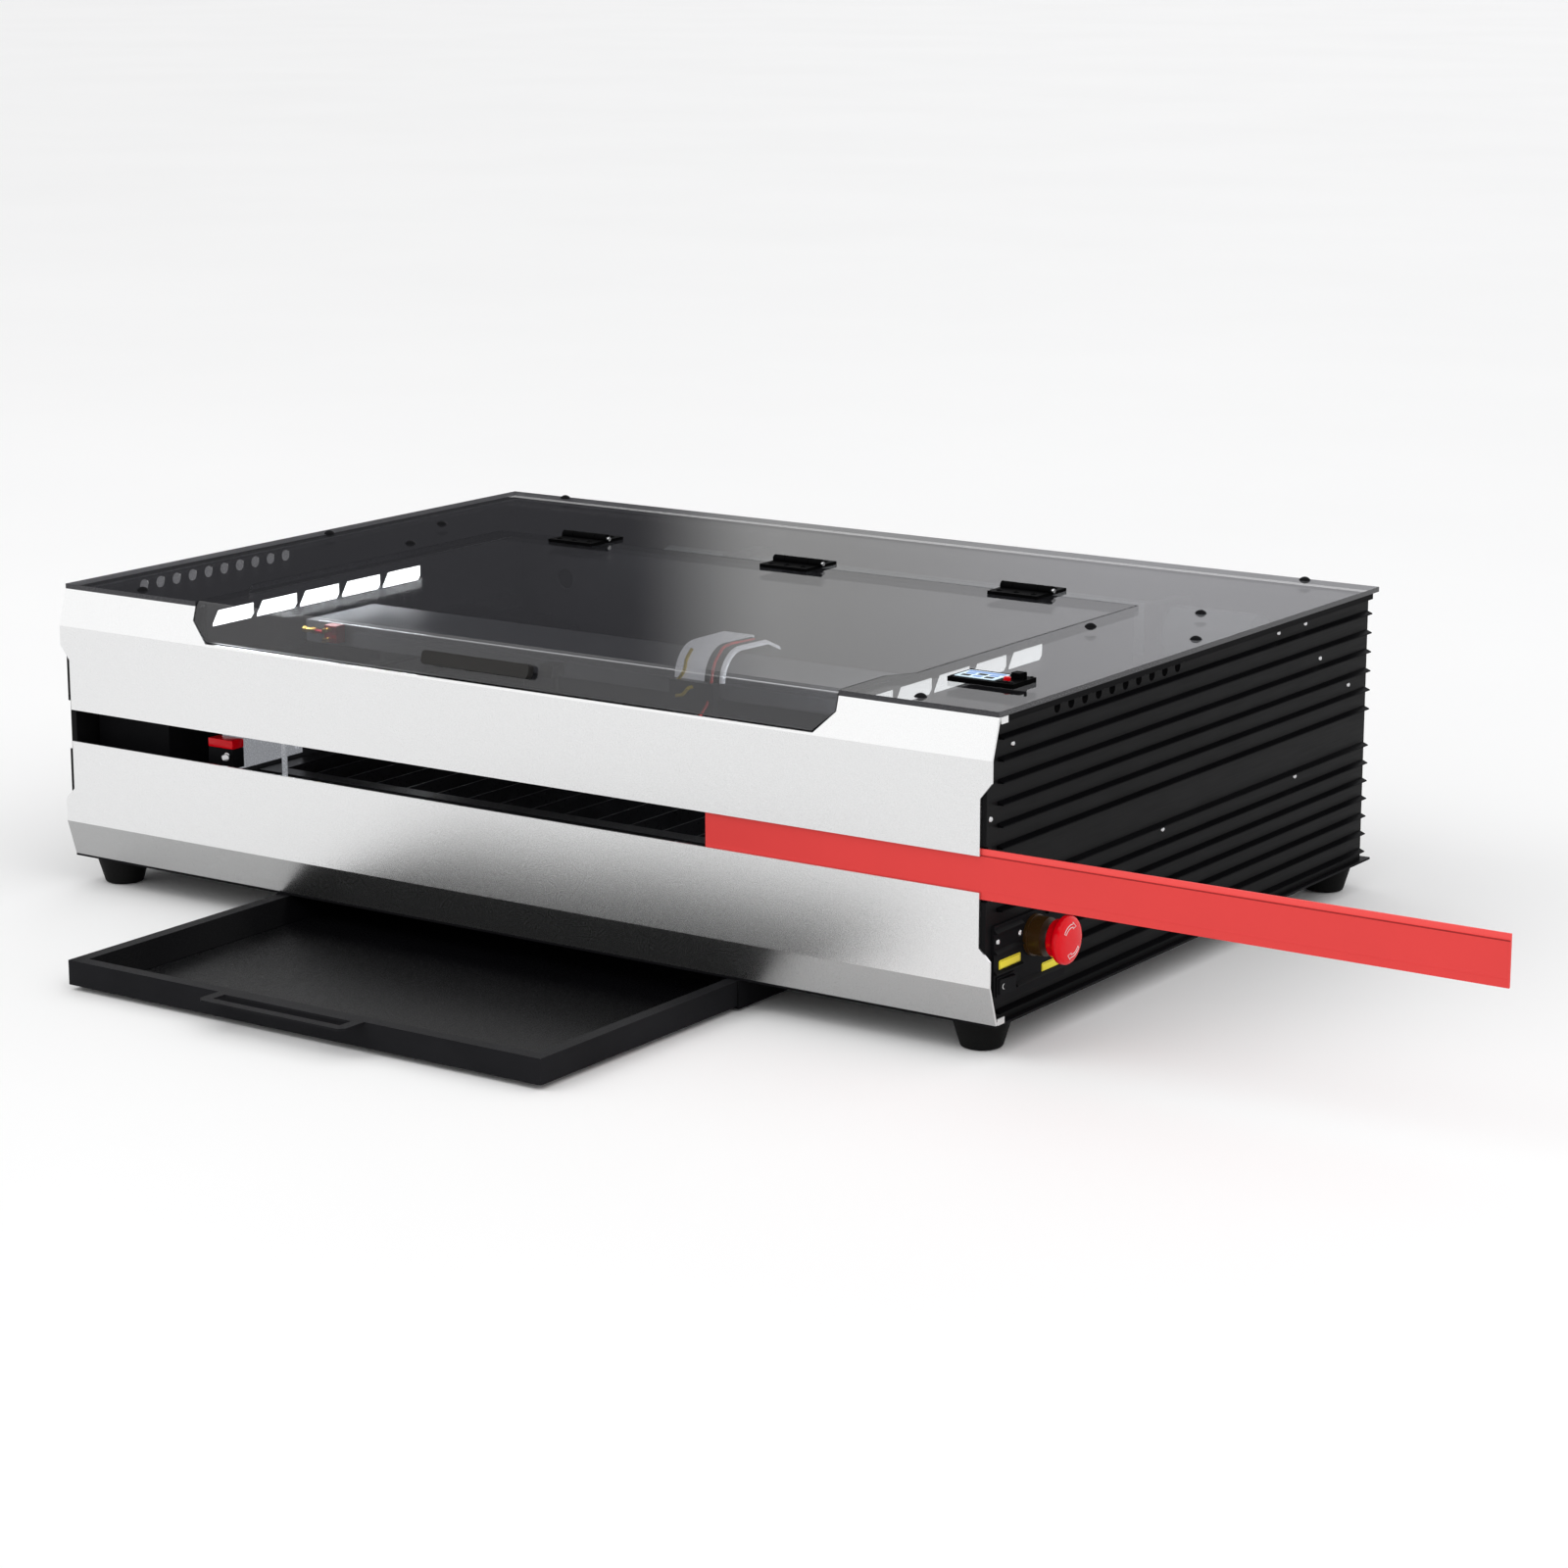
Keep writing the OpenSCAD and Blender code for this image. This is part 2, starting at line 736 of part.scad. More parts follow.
module hinge_fixed_leaves() {
  mid_w = hinge_w - 2 * end_w;
  color([0.05, 0.05, 0.05]) for (x = hinge_xs) {
    difference() {
      union() {
        for (s = [-1, 1]) translate([s * (hinge_w - end_w) / 2, 0, 0])
          rod_x(x - end_w / 2, x + end_w / 2, hinge_y, hinge_z, barrel_r);
        box(x - hinge_w / 2, x + hinge_w / 2, hinge_y + lid_gap / 2 + gap, hinge_y + leaf_d, zt, zt + leaf_t);
      }
      rod_x(x - hinge_w, x + hinge_w, hinge_y, hinge_z, pin_r);
      rod_x(x - mid_w / 2 - gap, x + mid_w / 2 + gap, hinge_y, hinge_z, barrel_r + 2 * gap);
    }
  }
}

module hinge_lid_leaves() {
  mid_w = hinge_w - 2 * end_w;
  color([0.05, 0.05, 0.05]) for (x = hinge_xs) {
    difference() {
      union() {
        rod_x(x - mid_w / 2 + gap, x + mid_w / 2 - gap, hinge_y, hinge_z, barrel_r);
        box(x - hinge_w / 2, x + hinge_w / 2, hinge_y - leaf_d, hinge_y - lid_gap / 2 - gap, zt, zt + leaf_t);
      }
      rod_x(x - hinge_w, x + hinge_w, hinge_y, hinge_z, pin_r + run_gap);
      for (s = [-1, 1]) translate([s * (mid_w / 2 + end_w / 2 + gap), 0, 0])
        rod_x(x - end_w / 2 - gap, x + end_w / 2 + gap, hinge_y, hinge_z, barrel_r + 2 * gap);
    }
  }
}

module hinge_pins() {
  color([0.8, 0.8, 0.8]) for (x = hinge_xs)
    rod_x(x - hinge_w / 2 - 1, x + hinge_w / 2 + 3, hinge_y, hinge_z, pin_r);
}

// ---------------------------------------------------------------- tray and slot cover

module waste_tray() {
  i = tray_hw - rim_w;
  color([0.06, 0.06, 0.065]) difference() {
    box(tray_x - tray_hw, tray_x + tray_hw, tray_y0, tray_y1, tray_zb, tray_zt);
    box(tray_x - i, tray_x + i, tray_y0 + rim_w, tray_y1 - rim_w, tray_zb + tray_t, tray_zt + cut);
  }
}

plate_out = 27;
slot_w = 135;
slot_d = 14;

// flat plate lying on the tray's front rim
module tray_handle() {
  front = tray_y0 - plate_out;
  c = 5;
  w = tray_handle_w / 2;
  x = tray_x - 4;
  z = tray_zt - handle_plate_t;
  color([0.08, 0.08, 0.09]) difference() {
    translate([x, 0, z]) linear_extrude(handle_plate_t) polygon([
      [-w, tray_y0], [-w, front + c], [-w + c, front], [w - c, front], [w, front + c], [w, tray_y0]
    ]);
    box(x - slot_w / 2, x + slot_w / 2, front + 9, front + 9 + slot_d, z - cut, tray_zt + cut);
  }
}

// flat strip with a shallow step along its top edge
module slot_cover() {
  step = 0.5;
  color([0.87, 0.25, 0.24]) along_x(cover_x, cover_x + cover_l) polygon([
    [cover_y, cover_z0], [cover_y, cover_z1 - fold_h], [cover_y + step, cover_z1 - fold_h],
    [cover_y + step, cover_z1], [cover_y + cover_t, cover_z1], [cover_y + cover_t, cover_z0]
  ]);
}

// ---------------------------------------------------------------- gantry and laser

// flat hollow beam with a guide rail on its front face
module gantry_beam() {
  skin = 2;
  color([0.7, 0.7, 0.72]) union() {
    difference() {
      box(beam_x0, beam_x1, beam_y0, beam_y1, beam_zb, beam_zt);
      box(beam_x0 - cut, beam_x1 + cut, beam_y0 + skin, beam_y1 - skin, beam_zb + skin, beam_zt - skin);
    }
    box(x_idler_x, beam_x1 - 6, beam_y0 - x_rail_d, beam_y0, beam_zt - 5 - x_rail_h, beam_zt - 5);
  }
}

module truck(side, x_wall) {
  x0 = x_wall + side * 3.5;
  x1 = x_wall + side * 28;
  difference() {
    box(min(x0, x1), max(x0, x1), beam_y0 + 8, beam_y1 - 8, rail_zb - 12, beam_zb);
    box(min(x_wall, x_wall + side * (rail_w + gap)), max(x_wall, x_wall + side * (rail_w + gap)),
        beam_y0, beam_y1, rail_zb - gap, rail_zt + gap);
  }
}

module gantry_trucks() {
  color([0.12, 0.12, 0.12]) {
    truck(1, in_left + in_t / 2);
    truck(-1, in_right - in_t / 2);
  }
}

module y_rails() {
  color([0.75, 0.75, 0.77]) {
    box(in_left + in_t / 2, in_left + in_t / 2 + rail_w, y_rail_front, y_rail_back, rail_zb, rail_zt);
    box(in_right - in_t / 2 - rail_w, in_right - in_t / 2, y_rail_front, y_rail_back, rail_zb, rail_zt);
  }
}

// outline of a belt loop round two pulleys, in its own plane
module loop(a, b, r) {
  difference() {
    union() {
      translate([a, 0]) circle(r + belt_t);
      translate([b, 0]) circle(r + belt_t);
      translate([a, -r - belt_t]) square([b - a, 2 * (r + belt_t)]);
    }
    translate([a, 0]) circle(r);
    translate([b, 0]) circle(r);
    translate([a, -r]) square([b - a, 2 * r]);
  }
}

y_belt_xs = [in_left + in_t / 2 + 20, in_right - in_t / 2 - 20];

// drive belts of the gantry, each with the idler that it turns round at the front
module y_belts() {
  color([0.05, 0.05, 0.05]) for (x = y_belt_xs)
    translate([0, 0, shaft_z]) along_x(x - belt_w / 2, x + belt_w / 2)
      loop(belt_y0, shaft_y, pulley_r + gap);
}

module y_shaft() {
  color([0.7, 0.7, 0.7]) union() {
    rod_x(in_left - in_t / 2 - 2, in_right - in_t / 2 - gap, shaft_y, shaft_z, 4);
    for (x = y_belt_xs) rod_x(x - belt_w / 2 - 1, x + belt_w / 2 + 1, shaft_y, shaft_z, pulley_r);
  }
}

// motor of the gantry on the left inner wall, and motor of the bed over the rear left screw
module drive_motors() {
  x1 = in_left - in_t / 2 - 2 - gap;
  half = motor_s / 2;
  bracket_z = screw_top + 10;
  color([0.1, 0.1, 0.1]) {
    box(x1 - motor_l, x1, shaft_y - half, shaft_y + half, shaft_z - half, shaft_z + half);
    box(screw_xl - half, screw_xl + half, screw_yr - half, screw_yr + half, screw_top, screw_top + 30);
    box(screw_xl - half, screw_xl + half, screw_yr + half, y_part, bracket_z, bracket_z + 3);
  }
}

module x_motor() {
  color([0.1, 0.1, 0.1])
    box(x_motor_x - motor_s / 2, x_motor_x + motor_s / 2, beam_y0, beam_y0 + motor_l,
        x_belt_z - motor_s / 2 + 1, beam_zb);
}

module x_belt() {
  color([0.05, 0.05, 0.05]) translate([0, 0, x_belt_z])
    along_y(x_belt_y - belt_w / 2, x_belt_y + belt_w / 2) loop(x_idler_x, x_motor_x, pulley_r + gap);
}

module x_pulley() {
  color([0.8, 0.8, 0.8]) union() {
    rod_y(x_belt_y - belt_w / 2 - 1, x_belt_y + belt_w / 2 + 1, x_motor_x, x_belt_z, pulley_r);
    rod_y(x_belt_y, beam_y0 - gap, x_motor_x, x_belt_z, 3);
  }
}

// small block with a mirror screwed to its face
module mirror_block(x, y, z) {
  box(x - 7, x + 7, y - 6, y + 6, z - 8, z + 8);
}

module gantry_mirror_mount() {
  y = beam_y0 - 6;
  color([0.75, 0.1, 0.12]) union() {
    mirror_block(beam_mirror_x, y, optic_z);
    rod_x(beam_mirror_x - 26, beam_mirror_x - 7, y, optic_z, 2);
  }
}

module rear_mirror_mount() {
  color([0.75, 0.1, 0.12]) union() {
    mirror_block(beam_mirror_x, tube_y, optic_z);
    box(beam_mirror_x - 9, beam_mirror_x + 9, tube_y - 8, tube_y + 8, zb, optic_z - 8);
  }
}

cap_l = 16;

module laser_tube() {
  color([0.8, 0.9, 0.95, 0.5]) union() {
    rod_x(tube_x0 + cap_l, tube_x0 + tube_l - cap_l, tube_y, optic_z, tube_r);
    rod_x(tube_x0, tube_x0 + cap_l, tube_y, optic_z, tube_r * 0.55);
    rod_x(tube_x0 + tube_l - cap_l, tube_x0 + tube_l, tube_y, optic_z, tube_r * 0.55);
  }
}

module tube_mounts() {
  color([0.1, 0.1, 0.1]) for (x = [tube_x0 + 110, tube_x0 + tube_l - 110]) difference() {
    box(x - 8, x + 8, tube_y - tube_r - 5, tube_y + tube_r + 5, zb, optic_z + tube_r + 4);
    rod_x(x - 8 - cut, x + 8 + cut, tube_y, optic_z, tube_r);
  }
}

nozzle_z = bed_zt + 44;
carriage_y = x_belt_y - belt_w / 2 - 2;

// carriage on the front rail, with the mirror housing, lens tube and nozzle
module laser_head() {
  rail_y = beam_y0 - x_rail_d - gap;
  rail_z1 = beam_zt - 5 + gap;
  rail_z0 = beam_zt - 5 - x_rail_h - gap;
  hy = carriage_y - 7 - 14;
  hz = x_belt_z + 14;
  color([0.75, 0.08, 0.1]) union() {
    box(head_x - head_w / 2, head_x + head_w / 2, carriage_y - 7, carriage_y, x_belt_z - 16, beam_zt - 2);
    difference() {
      box(head_x - 18, head_x + 18, carriage_y, beam_y0 - 1, rail_z0 - 2, beam_zt - 2);
      box(head_x - head_w, head_x + head_w, rail_y, beam_y0, rail_z0, rail_z1);
    }
    box(head_x - 14, head_x + 14, hy - 14, carriage_y - 7, hz - 28, hz);
    rod_z(nozzle_z + 14, hz - 28, head_x, hy, 11);
    translate([head_x, hy, nozzle_z]) cylinder(r1 = 3, r2 = 9, h = 14);
  }
}

// curved sheet that rises from the carriage and reaches back over the beam
module head_cover() {
  w = 32;
  t = 2;
  top = zu - 4;
  low = beam_zt - 2;
  r = top - low;
  y0 = carriage_y + 1;
  color([0.62, 0.62, 0.66]) along_x(head_x - head_w / 2, head_x - head_w / 2 + w)
    polygon(concat(
      arc(y0 + r, top - r, r, 180, 90, 8), [[y0 + r + 45, top], [y0 + r + 45, top - t]],
      arc(y0 + r, top - r, r - t, 90, 180, 8)
    ));
}

// ---------------------------------------------------------------- bed

module bed_frame() {
  color([0.3, 0.3, 0.31]) difference() {
    union() {
      difference() {
        box(bed_x0, bed_x1, bed_y0, bed_y1, bed_zb, bed_zt);
        box(bed_x0 + bed_bar, bed_x1 - bed_bar, bed_y0 + bed_bar, bed_y1 - bed_bar,
          bed_zb - cut, bed_zt + cut);
      }
      for (x = [screw_xl, screw_xr], y = [screw_yf, screw_yr]) {
        rod_z(bed_zb, bed_zb + 10, x, y, ear_r);
        box(x - ear_r, x + ear_r, min(y, y < 0 ? bed_y0 : bed_y1), max(y, y < 0 ? bed_y0 : bed_y1),
            bed_zb, bed_zb + 10);
      }
    }
    for (x = [screw_xl, screw_xr], y = [screw_yf, screw_yr])
      rod_z(bed_zb - cut, bed_zt, x, y, screw_r + run_gap);
  }
}

// thin upright slats, front to back, held in the frame
module bed_slats() {
  inner_w = bed_x1 - bed_x0 - 2 * bed_bar;
  pitch = inner_w / (slat_n + 1);
  color([0.08, 0.08, 0.08]) for (i = [1 : slat_n])
    box(bed_x0 + bed_bar + i * pitch - 1, bed_x0 + bed_bar + i * pitch + 1,
        bed_y0 + bed_bar, bed_y1 - bed_bar, bed_zb + 2, bed_zt);
}

// lifting screw with its belt pulley, standing in the base plate
module lift_screw(x, y, high) {
  color([0.8, 0.8, 0.82]) union() {
    rod_z(zb, high, x, y, screw_r);
    rod_z(lift_belt_z - belt_w / 2, lift_belt_z + belt_w / 2, x, y, lift_pulley_r);
  }
}

module screw_front_left() {
  lift_screw(screw_xl, screw_yf, screw_top);
}

module screw_front_right() {
  lift_screw(screw_xr, screw_yf, screw_top);
}

module screw_rear_left() {
  lift_screw(screw_xl, screw_yr, screw_top - gap);
}

module screw_rear_right() {
  lift_screw(screw_xr, screw_yr, screw_top);
}

// outline of the belt's outer or inner edge round the four pulleys
module lift_loop(r) {
  for (x = [screw_xl, screw_xr], y = [screw_yf, screw_yr]) translate([x, y]) circle(r);
  translate([screw_xl - r, screw_yf]) square([screw_xr - screw_xl + 2 * r, screw_yr - screw_yf]);
  translate([screw_xl, screw_yf - r]) square([screw_xr - screw_xl, screw_yr - screw_yf + 2 * r]);
}

module bed_belt() {
  r = lift_pulley_r + gap;
  color([0.05, 0.05, 0.05]) translate([0, 0, lift_belt_z - belt_w / 2 + 0.5])
    linear_extrude(belt_w - 1) difference() {
      lift_loop(r + belt_t);
      lift_loop(r);
    }
}

// ---------------------------------------------------------------- stop button, rocker, fan

estop_x0 = plate_x + collar_l + 5;
estop_x1 = wall_x + fin_l + estop_out;
estop_seat = estop_x1 - 8;

module estop_stem() {
  color([0.6, 0.6, 0.6]) rod_x(wall_in - 6, estop_seat, estop_y, estop_z, stem_r);
}

// mushroom head, hollow at the back where it turns on the stem
module estop_head() {
  edge = 5;
  h = estop_x1 - estop_x0;
  color([0.85, 0.02, 0.07]) difference() {
    translate([estop_x0, estop_y, estop_z]) rotate([0, 90, 0]) rotate_extrude() polygon(concat(
      [[0, 0], [estop_r - 3, 0], [estop_r, 2.5]],
      arc(estop_r - edge, h - edge, edge, 0, 80, 5), [[0, h]]
    ));
    rod_x(estop_x0 - cut, estop_seat + gap, estop_y, estop_z, stem_r + run_gap);
  }
}

rocker_pivot_x = plate_x - 2;

rocker_tilt = 8;

// key resting on its stop, tilted to one side
module rocker_key() {
  w = rocker_w - 2 * gap;
  h = rocker_h - 2 * gap;
  color([0.03, 0.03, 0.03]) translate([rocker_pivot_x, rocker_y, rocker_z])
    rotate([0, 0, -rocker_tilt]) intersection() {
      rod_z(-h / 2, h / 2, 0, 0, w / 2 - 0.1);
      box(-4, 6, -w / 2, w / 2, -h / 2, h / 2);
    }
}

// tube through the rear panel: a spigot for a hose outside, a guard with a hub inside
module exhaust_duct() {
  front = y_wall_end - 34;
  embed = duct_r - duct_t / 2;
  color([0.08, 0.08, 0.08]) union() {
    difference() {
      union() {
        rod_y(front, yb + duct_out, duct_x, duct_z, duct_r);
        rod_y(y_wall_end + rear_t, y_wall_end + rear_t + 3, duct_x, duct_z, duct_r + 12);
      }
      rod_y(front - cut, yb + duct_out + cut, duct_x, duct_z, duct_r - duct_t);
    }
    for (a = [0 : 60 : 120]) translate([duct_x, front + 2, duct_z]) rotate([0, a, 0])
      cube([2 * embed, 2, 5], center = true);
    rod_y(front, front + 4, duct_x, duct_z, 14);
  }
}

module fan_rotor() {
  y = y_wall_end - 18;
  color([0.12, 0.12, 0.12]) union() {
    rod_y(y - 8, y + 8, duct_x, duct_z, 16);
    rod_y(y - 12 + gap, y, duct_x, duct_z, 4);
    for (i = [0 : 6]) translate([duct_x, y, duct_z]) rotate([0, i * 360 / 7, 0])
      translate([15, -1, 0]) rotate([35, 0, 0]) cube([fan_r - 15, 2, 14]);
  }
}

inlet_x = 300;
inlet_z = z0 + 62;
inlet_w = 48;
inlet_h = 28;

module power_inlet() {
  color([0.05, 0.05, 0.05]) difference() {
    union() {
      box(-inlet_x - inlet_w / 2, -inlet_x + inlet_w / 2, y_wall_end - 20, y_wall_end + rear_t,
          inlet_z - inlet_h / 2, inlet_z + inlet_h / 2);
      box(-inlet_x - inlet_w / 2 - 4, -inlet_x + inlet_w / 2 + 4, y_wall_end + rear_t,
          y_wall_end + rear_t + 2, inlet_z - inlet_h / 2 - 4, inlet_z + inlet_h / 2 + 4);
    }
    box(-inlet_x - 13, -inlet_x + 13, y_wall_end - 14, yb, inlet_z - 9, inlet_z + 9);
    for (dx = [-7, 0, 7]) rod_y(y_wall_end - 18, y_wall_end, -inlet_x + dx, inlet_z, 0.8);
  }
}

psu_x0 = wall_in - 4;
psu_x1 = hw - 103;

module power_supply() {
  color([0.12, 0.12, 0.12]) box(-psu_x0, -psu_x1, yf + 20, yf + 262, zb, zb + 185);
}

module controller_board() {
  x0 = in_right + 30;
  y0 = yf + 250;
  color([0.05, 0.25, 0.12]) union() {
    box(x0, x0 + 90, y0, y0 + 150, zb + 8, zb + 10);
    for (x = [x0 + 6, x0 + 84], y = [y0 + 6, y0 + 144]) rod_z(zb, zb + 9, x, y, 3);
    for (i = [0 : 3]) box(x0 + 12 + i * 18, x0 + 24 + i * 18, y0 + 20, y0 + 34, zb + 10, zb + 20);
    box(x0 + 20, x0 + 60, y0 + 70, y0 + 110, zb + 10, zb + 14);
  }
}

base_plate();
left_wall_upper();
left_wall_lower();
right_wall_upper();
right_wall_lower();
rear_panel();
top_plate();
front_panel_upper();
front_panel_lower();
inner_wall_left();
inner_wall_right();
inner_wall_rear();
light_diffusers();
cover_guides();
feet();
tray_housing();
top_screws();
side_screws();
control_plate();
estop_collar();
display_case();
hinge_fixed_leaves();
hinge_pins();
y_rails();
y_belts();
drive_motors();
bed_belt();
laser_tube();
tube_mounts();
rear_mirror_mount();
power_supply();
controller_board();
exhaust_duct();
power_inlet();
lid_glass();
lid_handle();
hinge_lid_leaves();
waste_tray();
tray_handle();
slot_cover();
gantry_beam();
gantry_trucks();
x_motor();
x_belt();
gantry_mirror_mount();
y_shaft();
x_pulley();
laser_head();
head_cover();
bed_frame();
bed_slats();
screw_front_left();
screw_front_right();
screw_rear_left();
screw_rear_right();
estop_stem();
estop_head();
rocker_key();
menu_button();
fan_rotor();
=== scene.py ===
import json
import math
import bmesh
import bpy
from mathutils import Matrix, Vector


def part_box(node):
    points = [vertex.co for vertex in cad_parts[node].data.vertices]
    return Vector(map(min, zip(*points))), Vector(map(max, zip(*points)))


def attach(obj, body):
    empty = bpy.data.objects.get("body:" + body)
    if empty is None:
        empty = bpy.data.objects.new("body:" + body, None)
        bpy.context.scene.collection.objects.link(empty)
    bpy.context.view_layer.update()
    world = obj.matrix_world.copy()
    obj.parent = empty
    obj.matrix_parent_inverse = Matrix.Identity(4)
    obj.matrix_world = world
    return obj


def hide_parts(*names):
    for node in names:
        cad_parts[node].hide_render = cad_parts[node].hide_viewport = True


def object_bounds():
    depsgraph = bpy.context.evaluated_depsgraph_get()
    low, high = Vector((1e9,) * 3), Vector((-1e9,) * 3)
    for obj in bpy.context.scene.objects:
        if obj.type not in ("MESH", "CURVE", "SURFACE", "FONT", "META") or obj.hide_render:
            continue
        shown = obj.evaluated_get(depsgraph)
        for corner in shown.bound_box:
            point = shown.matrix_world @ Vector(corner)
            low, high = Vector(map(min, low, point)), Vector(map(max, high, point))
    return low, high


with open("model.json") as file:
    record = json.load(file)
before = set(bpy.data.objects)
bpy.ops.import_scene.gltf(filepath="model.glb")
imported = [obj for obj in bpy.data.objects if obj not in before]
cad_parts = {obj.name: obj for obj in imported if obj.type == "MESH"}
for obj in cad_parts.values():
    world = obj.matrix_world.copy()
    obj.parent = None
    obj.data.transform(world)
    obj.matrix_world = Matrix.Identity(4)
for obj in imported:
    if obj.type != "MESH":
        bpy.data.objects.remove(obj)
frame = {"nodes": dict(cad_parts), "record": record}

# Desktop laser cutter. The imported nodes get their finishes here, and the small pieces that the
# CAD leaves out are built in millimetres in the part's own frame and ride on its bodies.

CAD_LOW, CAD_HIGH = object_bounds()
MM = 0.001
RIGHT, LEFT = (1, 0, 0), (-1, 0, 0)
REAR, FRONT = (0, 1, 0), (0, -1, 0)
UP, DOWN = (0, 0, 1), (0, 0, -1)
scene = bpy.context.scene


# ------------------------------------------------------------------ materials

BUMP_DEPTH = 0.0006
NOISE_LOW, NOISE_HIGH = 0.3, 0.7        # most values of a noise texture lie between these


def new_material(name):
    """A node material with its tree, its shader joined to the output, and its coordinates."""
    mat = bpy.data.materials.new(name)
    mat.use_nodes = True
    tree = mat.node_tree
    tree.nodes.clear()
    out = tree.nodes.new("ShaderNodeOutputMaterial")
    bsdf = tree.nodes.new("ShaderNodeBsdfPrincipled")
    tree.links.new(bsdf.outputs[0], out.inputs[0])
    coord = tree.nodes.new("ShaderNodeTexCoord")
    return mat, tree, bsdf, coord


def noise(tree, coord, scale, detail, stretch=(1, 1, 1)):
    """A noise texture over the object's own coordinates, stretched along its axes."""
    mapping = tree.nodes.new("ShaderNodeMapping")
    mapping.inputs["Scale"].default_value = stretch
    tex = tree.nodes.new("ShaderNodeTexNoise")
    tex.inputs["Scale"].default_value = scale
    tex.inputs["Detail"].default_value = detail
    tree.links.new(coord.outputs["Object"], mapping.inputs["Vector"])
    tree.links.new(mapping.outputs[0], tex.inputs["Vector"])
    return tex.outputs["Fac"]


def ramp(tree, fac, low, high):
    """A colour between low and high that follows a noise texture."""
    node = tree.nodes.new("ShaderNodeValToRGB")
    for element, pos, col in zip(node.color_ramp.elements, (NOISE_LOW, NOISE_HIGH), (low, high)):
        element.position = pos
        element.color = (*col, 1)
    tree.links.new(fac, node.inputs[0])
    return node.outputs[0]


def surface(name, color, rough, metal=0.0, spec=0.5, ior=1.5, alpha=1.0, var=0.08, var_scale=18,
            rough_var=0.06, grain=0.05, grain_scale=900, stretch=(1, 1, 1), glow=0.0,
            glow_color=(1, 1, 1)):
    """A finish with mottled colour and roughness, fine grain as bump and, if asked, a glow.

    var and rough_var say how far the colour and the roughness stray; stretch draws the grain out.
    """
    mat, tree, bsdf, coord = new_material(name)
    links = tree.links
    broad = noise(tree, coord, var_scale, 4)
    low = [max(0, c * (1 - var)) for c in color]
    high = [min(1, c * (1 + var)) for c in color]
    links.new(ramp(tree, broad, low, high), bsdf.inputs["Base Color"])
    fine = noise(tree, coord, grain_scale, 2, stretch)
    rmap = tree.nodes.new("ShaderNodeMapRange")
    rmap.inputs["From Min"].default_value = NOISE_LOW
    rmap.inputs["From Max"].default_value = NOISE_HIGH
    rmap.inputs["To Min"].default_value = max(0.0, rough - rough_var)
    rmap.inputs["To Max"].default_value = min(1.0, rough + rough_var)
    links.new(fine, rmap.inputs["Value"])
    links.new(rmap.outputs[0], bsdf.inputs["Roughness"])
    if grain:
        bump = tree.nodes.new("ShaderNodeBump")
        bump.inputs["Strength"].default_value = grain
        bump.inputs["Distance"].default_value = BUMP_DEPTH
        links.new(fine, bump.inputs["Height"])
        links.new(bump.outputs[0], bsdf.inputs["Normal"])
    bsdf.inputs["Metallic"].default_value = metal
    bsdf.inputs["Specular IOR Level"].default_value = spec
    bsdf.inputs["IOR"].default_value = ior
    bsdf.inputs["Alpha"].default_value = alpha
    if glow:
        bsdf.inputs["Emission Color"].default_value = (*glow_color, 1)
        bsdf.inputs["Emission Strength"].default_value = glow
    return mat


def panel_white(name, shade):
    """Satin white sheet metal at a given brightness."""
    return surface(name, (shade, shade * 1.002, shade * 1.005), 0.27, metal=0.97, var=0.008,
                   var_scale=4, grain=0.12, grain_scale=1600, rough_var=0.05)


# white panels: the plain face, the facet that leans back and the one that leans under, the last
# two the same white painted lighter and darker as painted light and painted shade
WHITE = panel_white("white_satin_metal", 0.78)
WHITE_PAINTED_LIT = panel_white("white_satin_painted_lit", 0.92)
WHITE_PAINTED_SHADE = panel_white("white_satin_painted_shade", 0.44)

# black metal
EXTRUSION = surface("black_anodised", (0.0065, 0.0065, 0.007), 0.36, spec=0.3, ior=1.15,
                    var=0.15, grain=0.06, grain_scale=700, stretch=(1, 0.03, 1))
# the fins are the wall's black painted darker: painted shade for the dark lines under them
FIN_PAINTED_SHADE = surface("fin_black_painted_shade", (0.0025, 0.0025, 0.003), 0.4, spec=0.2, ior=1.13, var=0.2,
              grain=0.05, grain_scale=700, stretch=(1, 0.03, 1))
FIN_TIP = surface("fin_tip", (0.2, 0.2, 0.21), 0.35, metal=0.5, var=0.15, grain=0.08)
SHEET = surface("black_powder_coat", (0.008, 0.008, 0.009), 0.45, spec=0.16, ior=1.16,
                var=0.15, grain=0.2, grain_scale=1300)
HINGE = surface("hinge_black", (0.002, 0.002, 0.0022), 0.5, spec=0.2, ior=1.1, var=0.2,
                grain=0.1, grain_scale=1300)
TRAY = surface("tray_black_coat", (0.013, 0.013, 0.0145), 0.32, spec=0.12, ior=1.17, var=0.12,
               grain=0.12, grain_scale=1300)
# the inside of the tray in a darker black than the outside: painted shade in its hollow
TRAY_FLOOR_PAINTED_SHADE = surface("tray_floor_painted_shade", (0.0025, 0.0025, 0.003), 0.26, spec=0.2, ior=1.2,
                     var=0.12, grain=0.1, grain_scale=1300)
SLAT = surface("slat_steel", (0.02, 0.02, 0.022), 0.32, metal=0.4, var=0.2, grain=0.1,
               grain_scale=500)

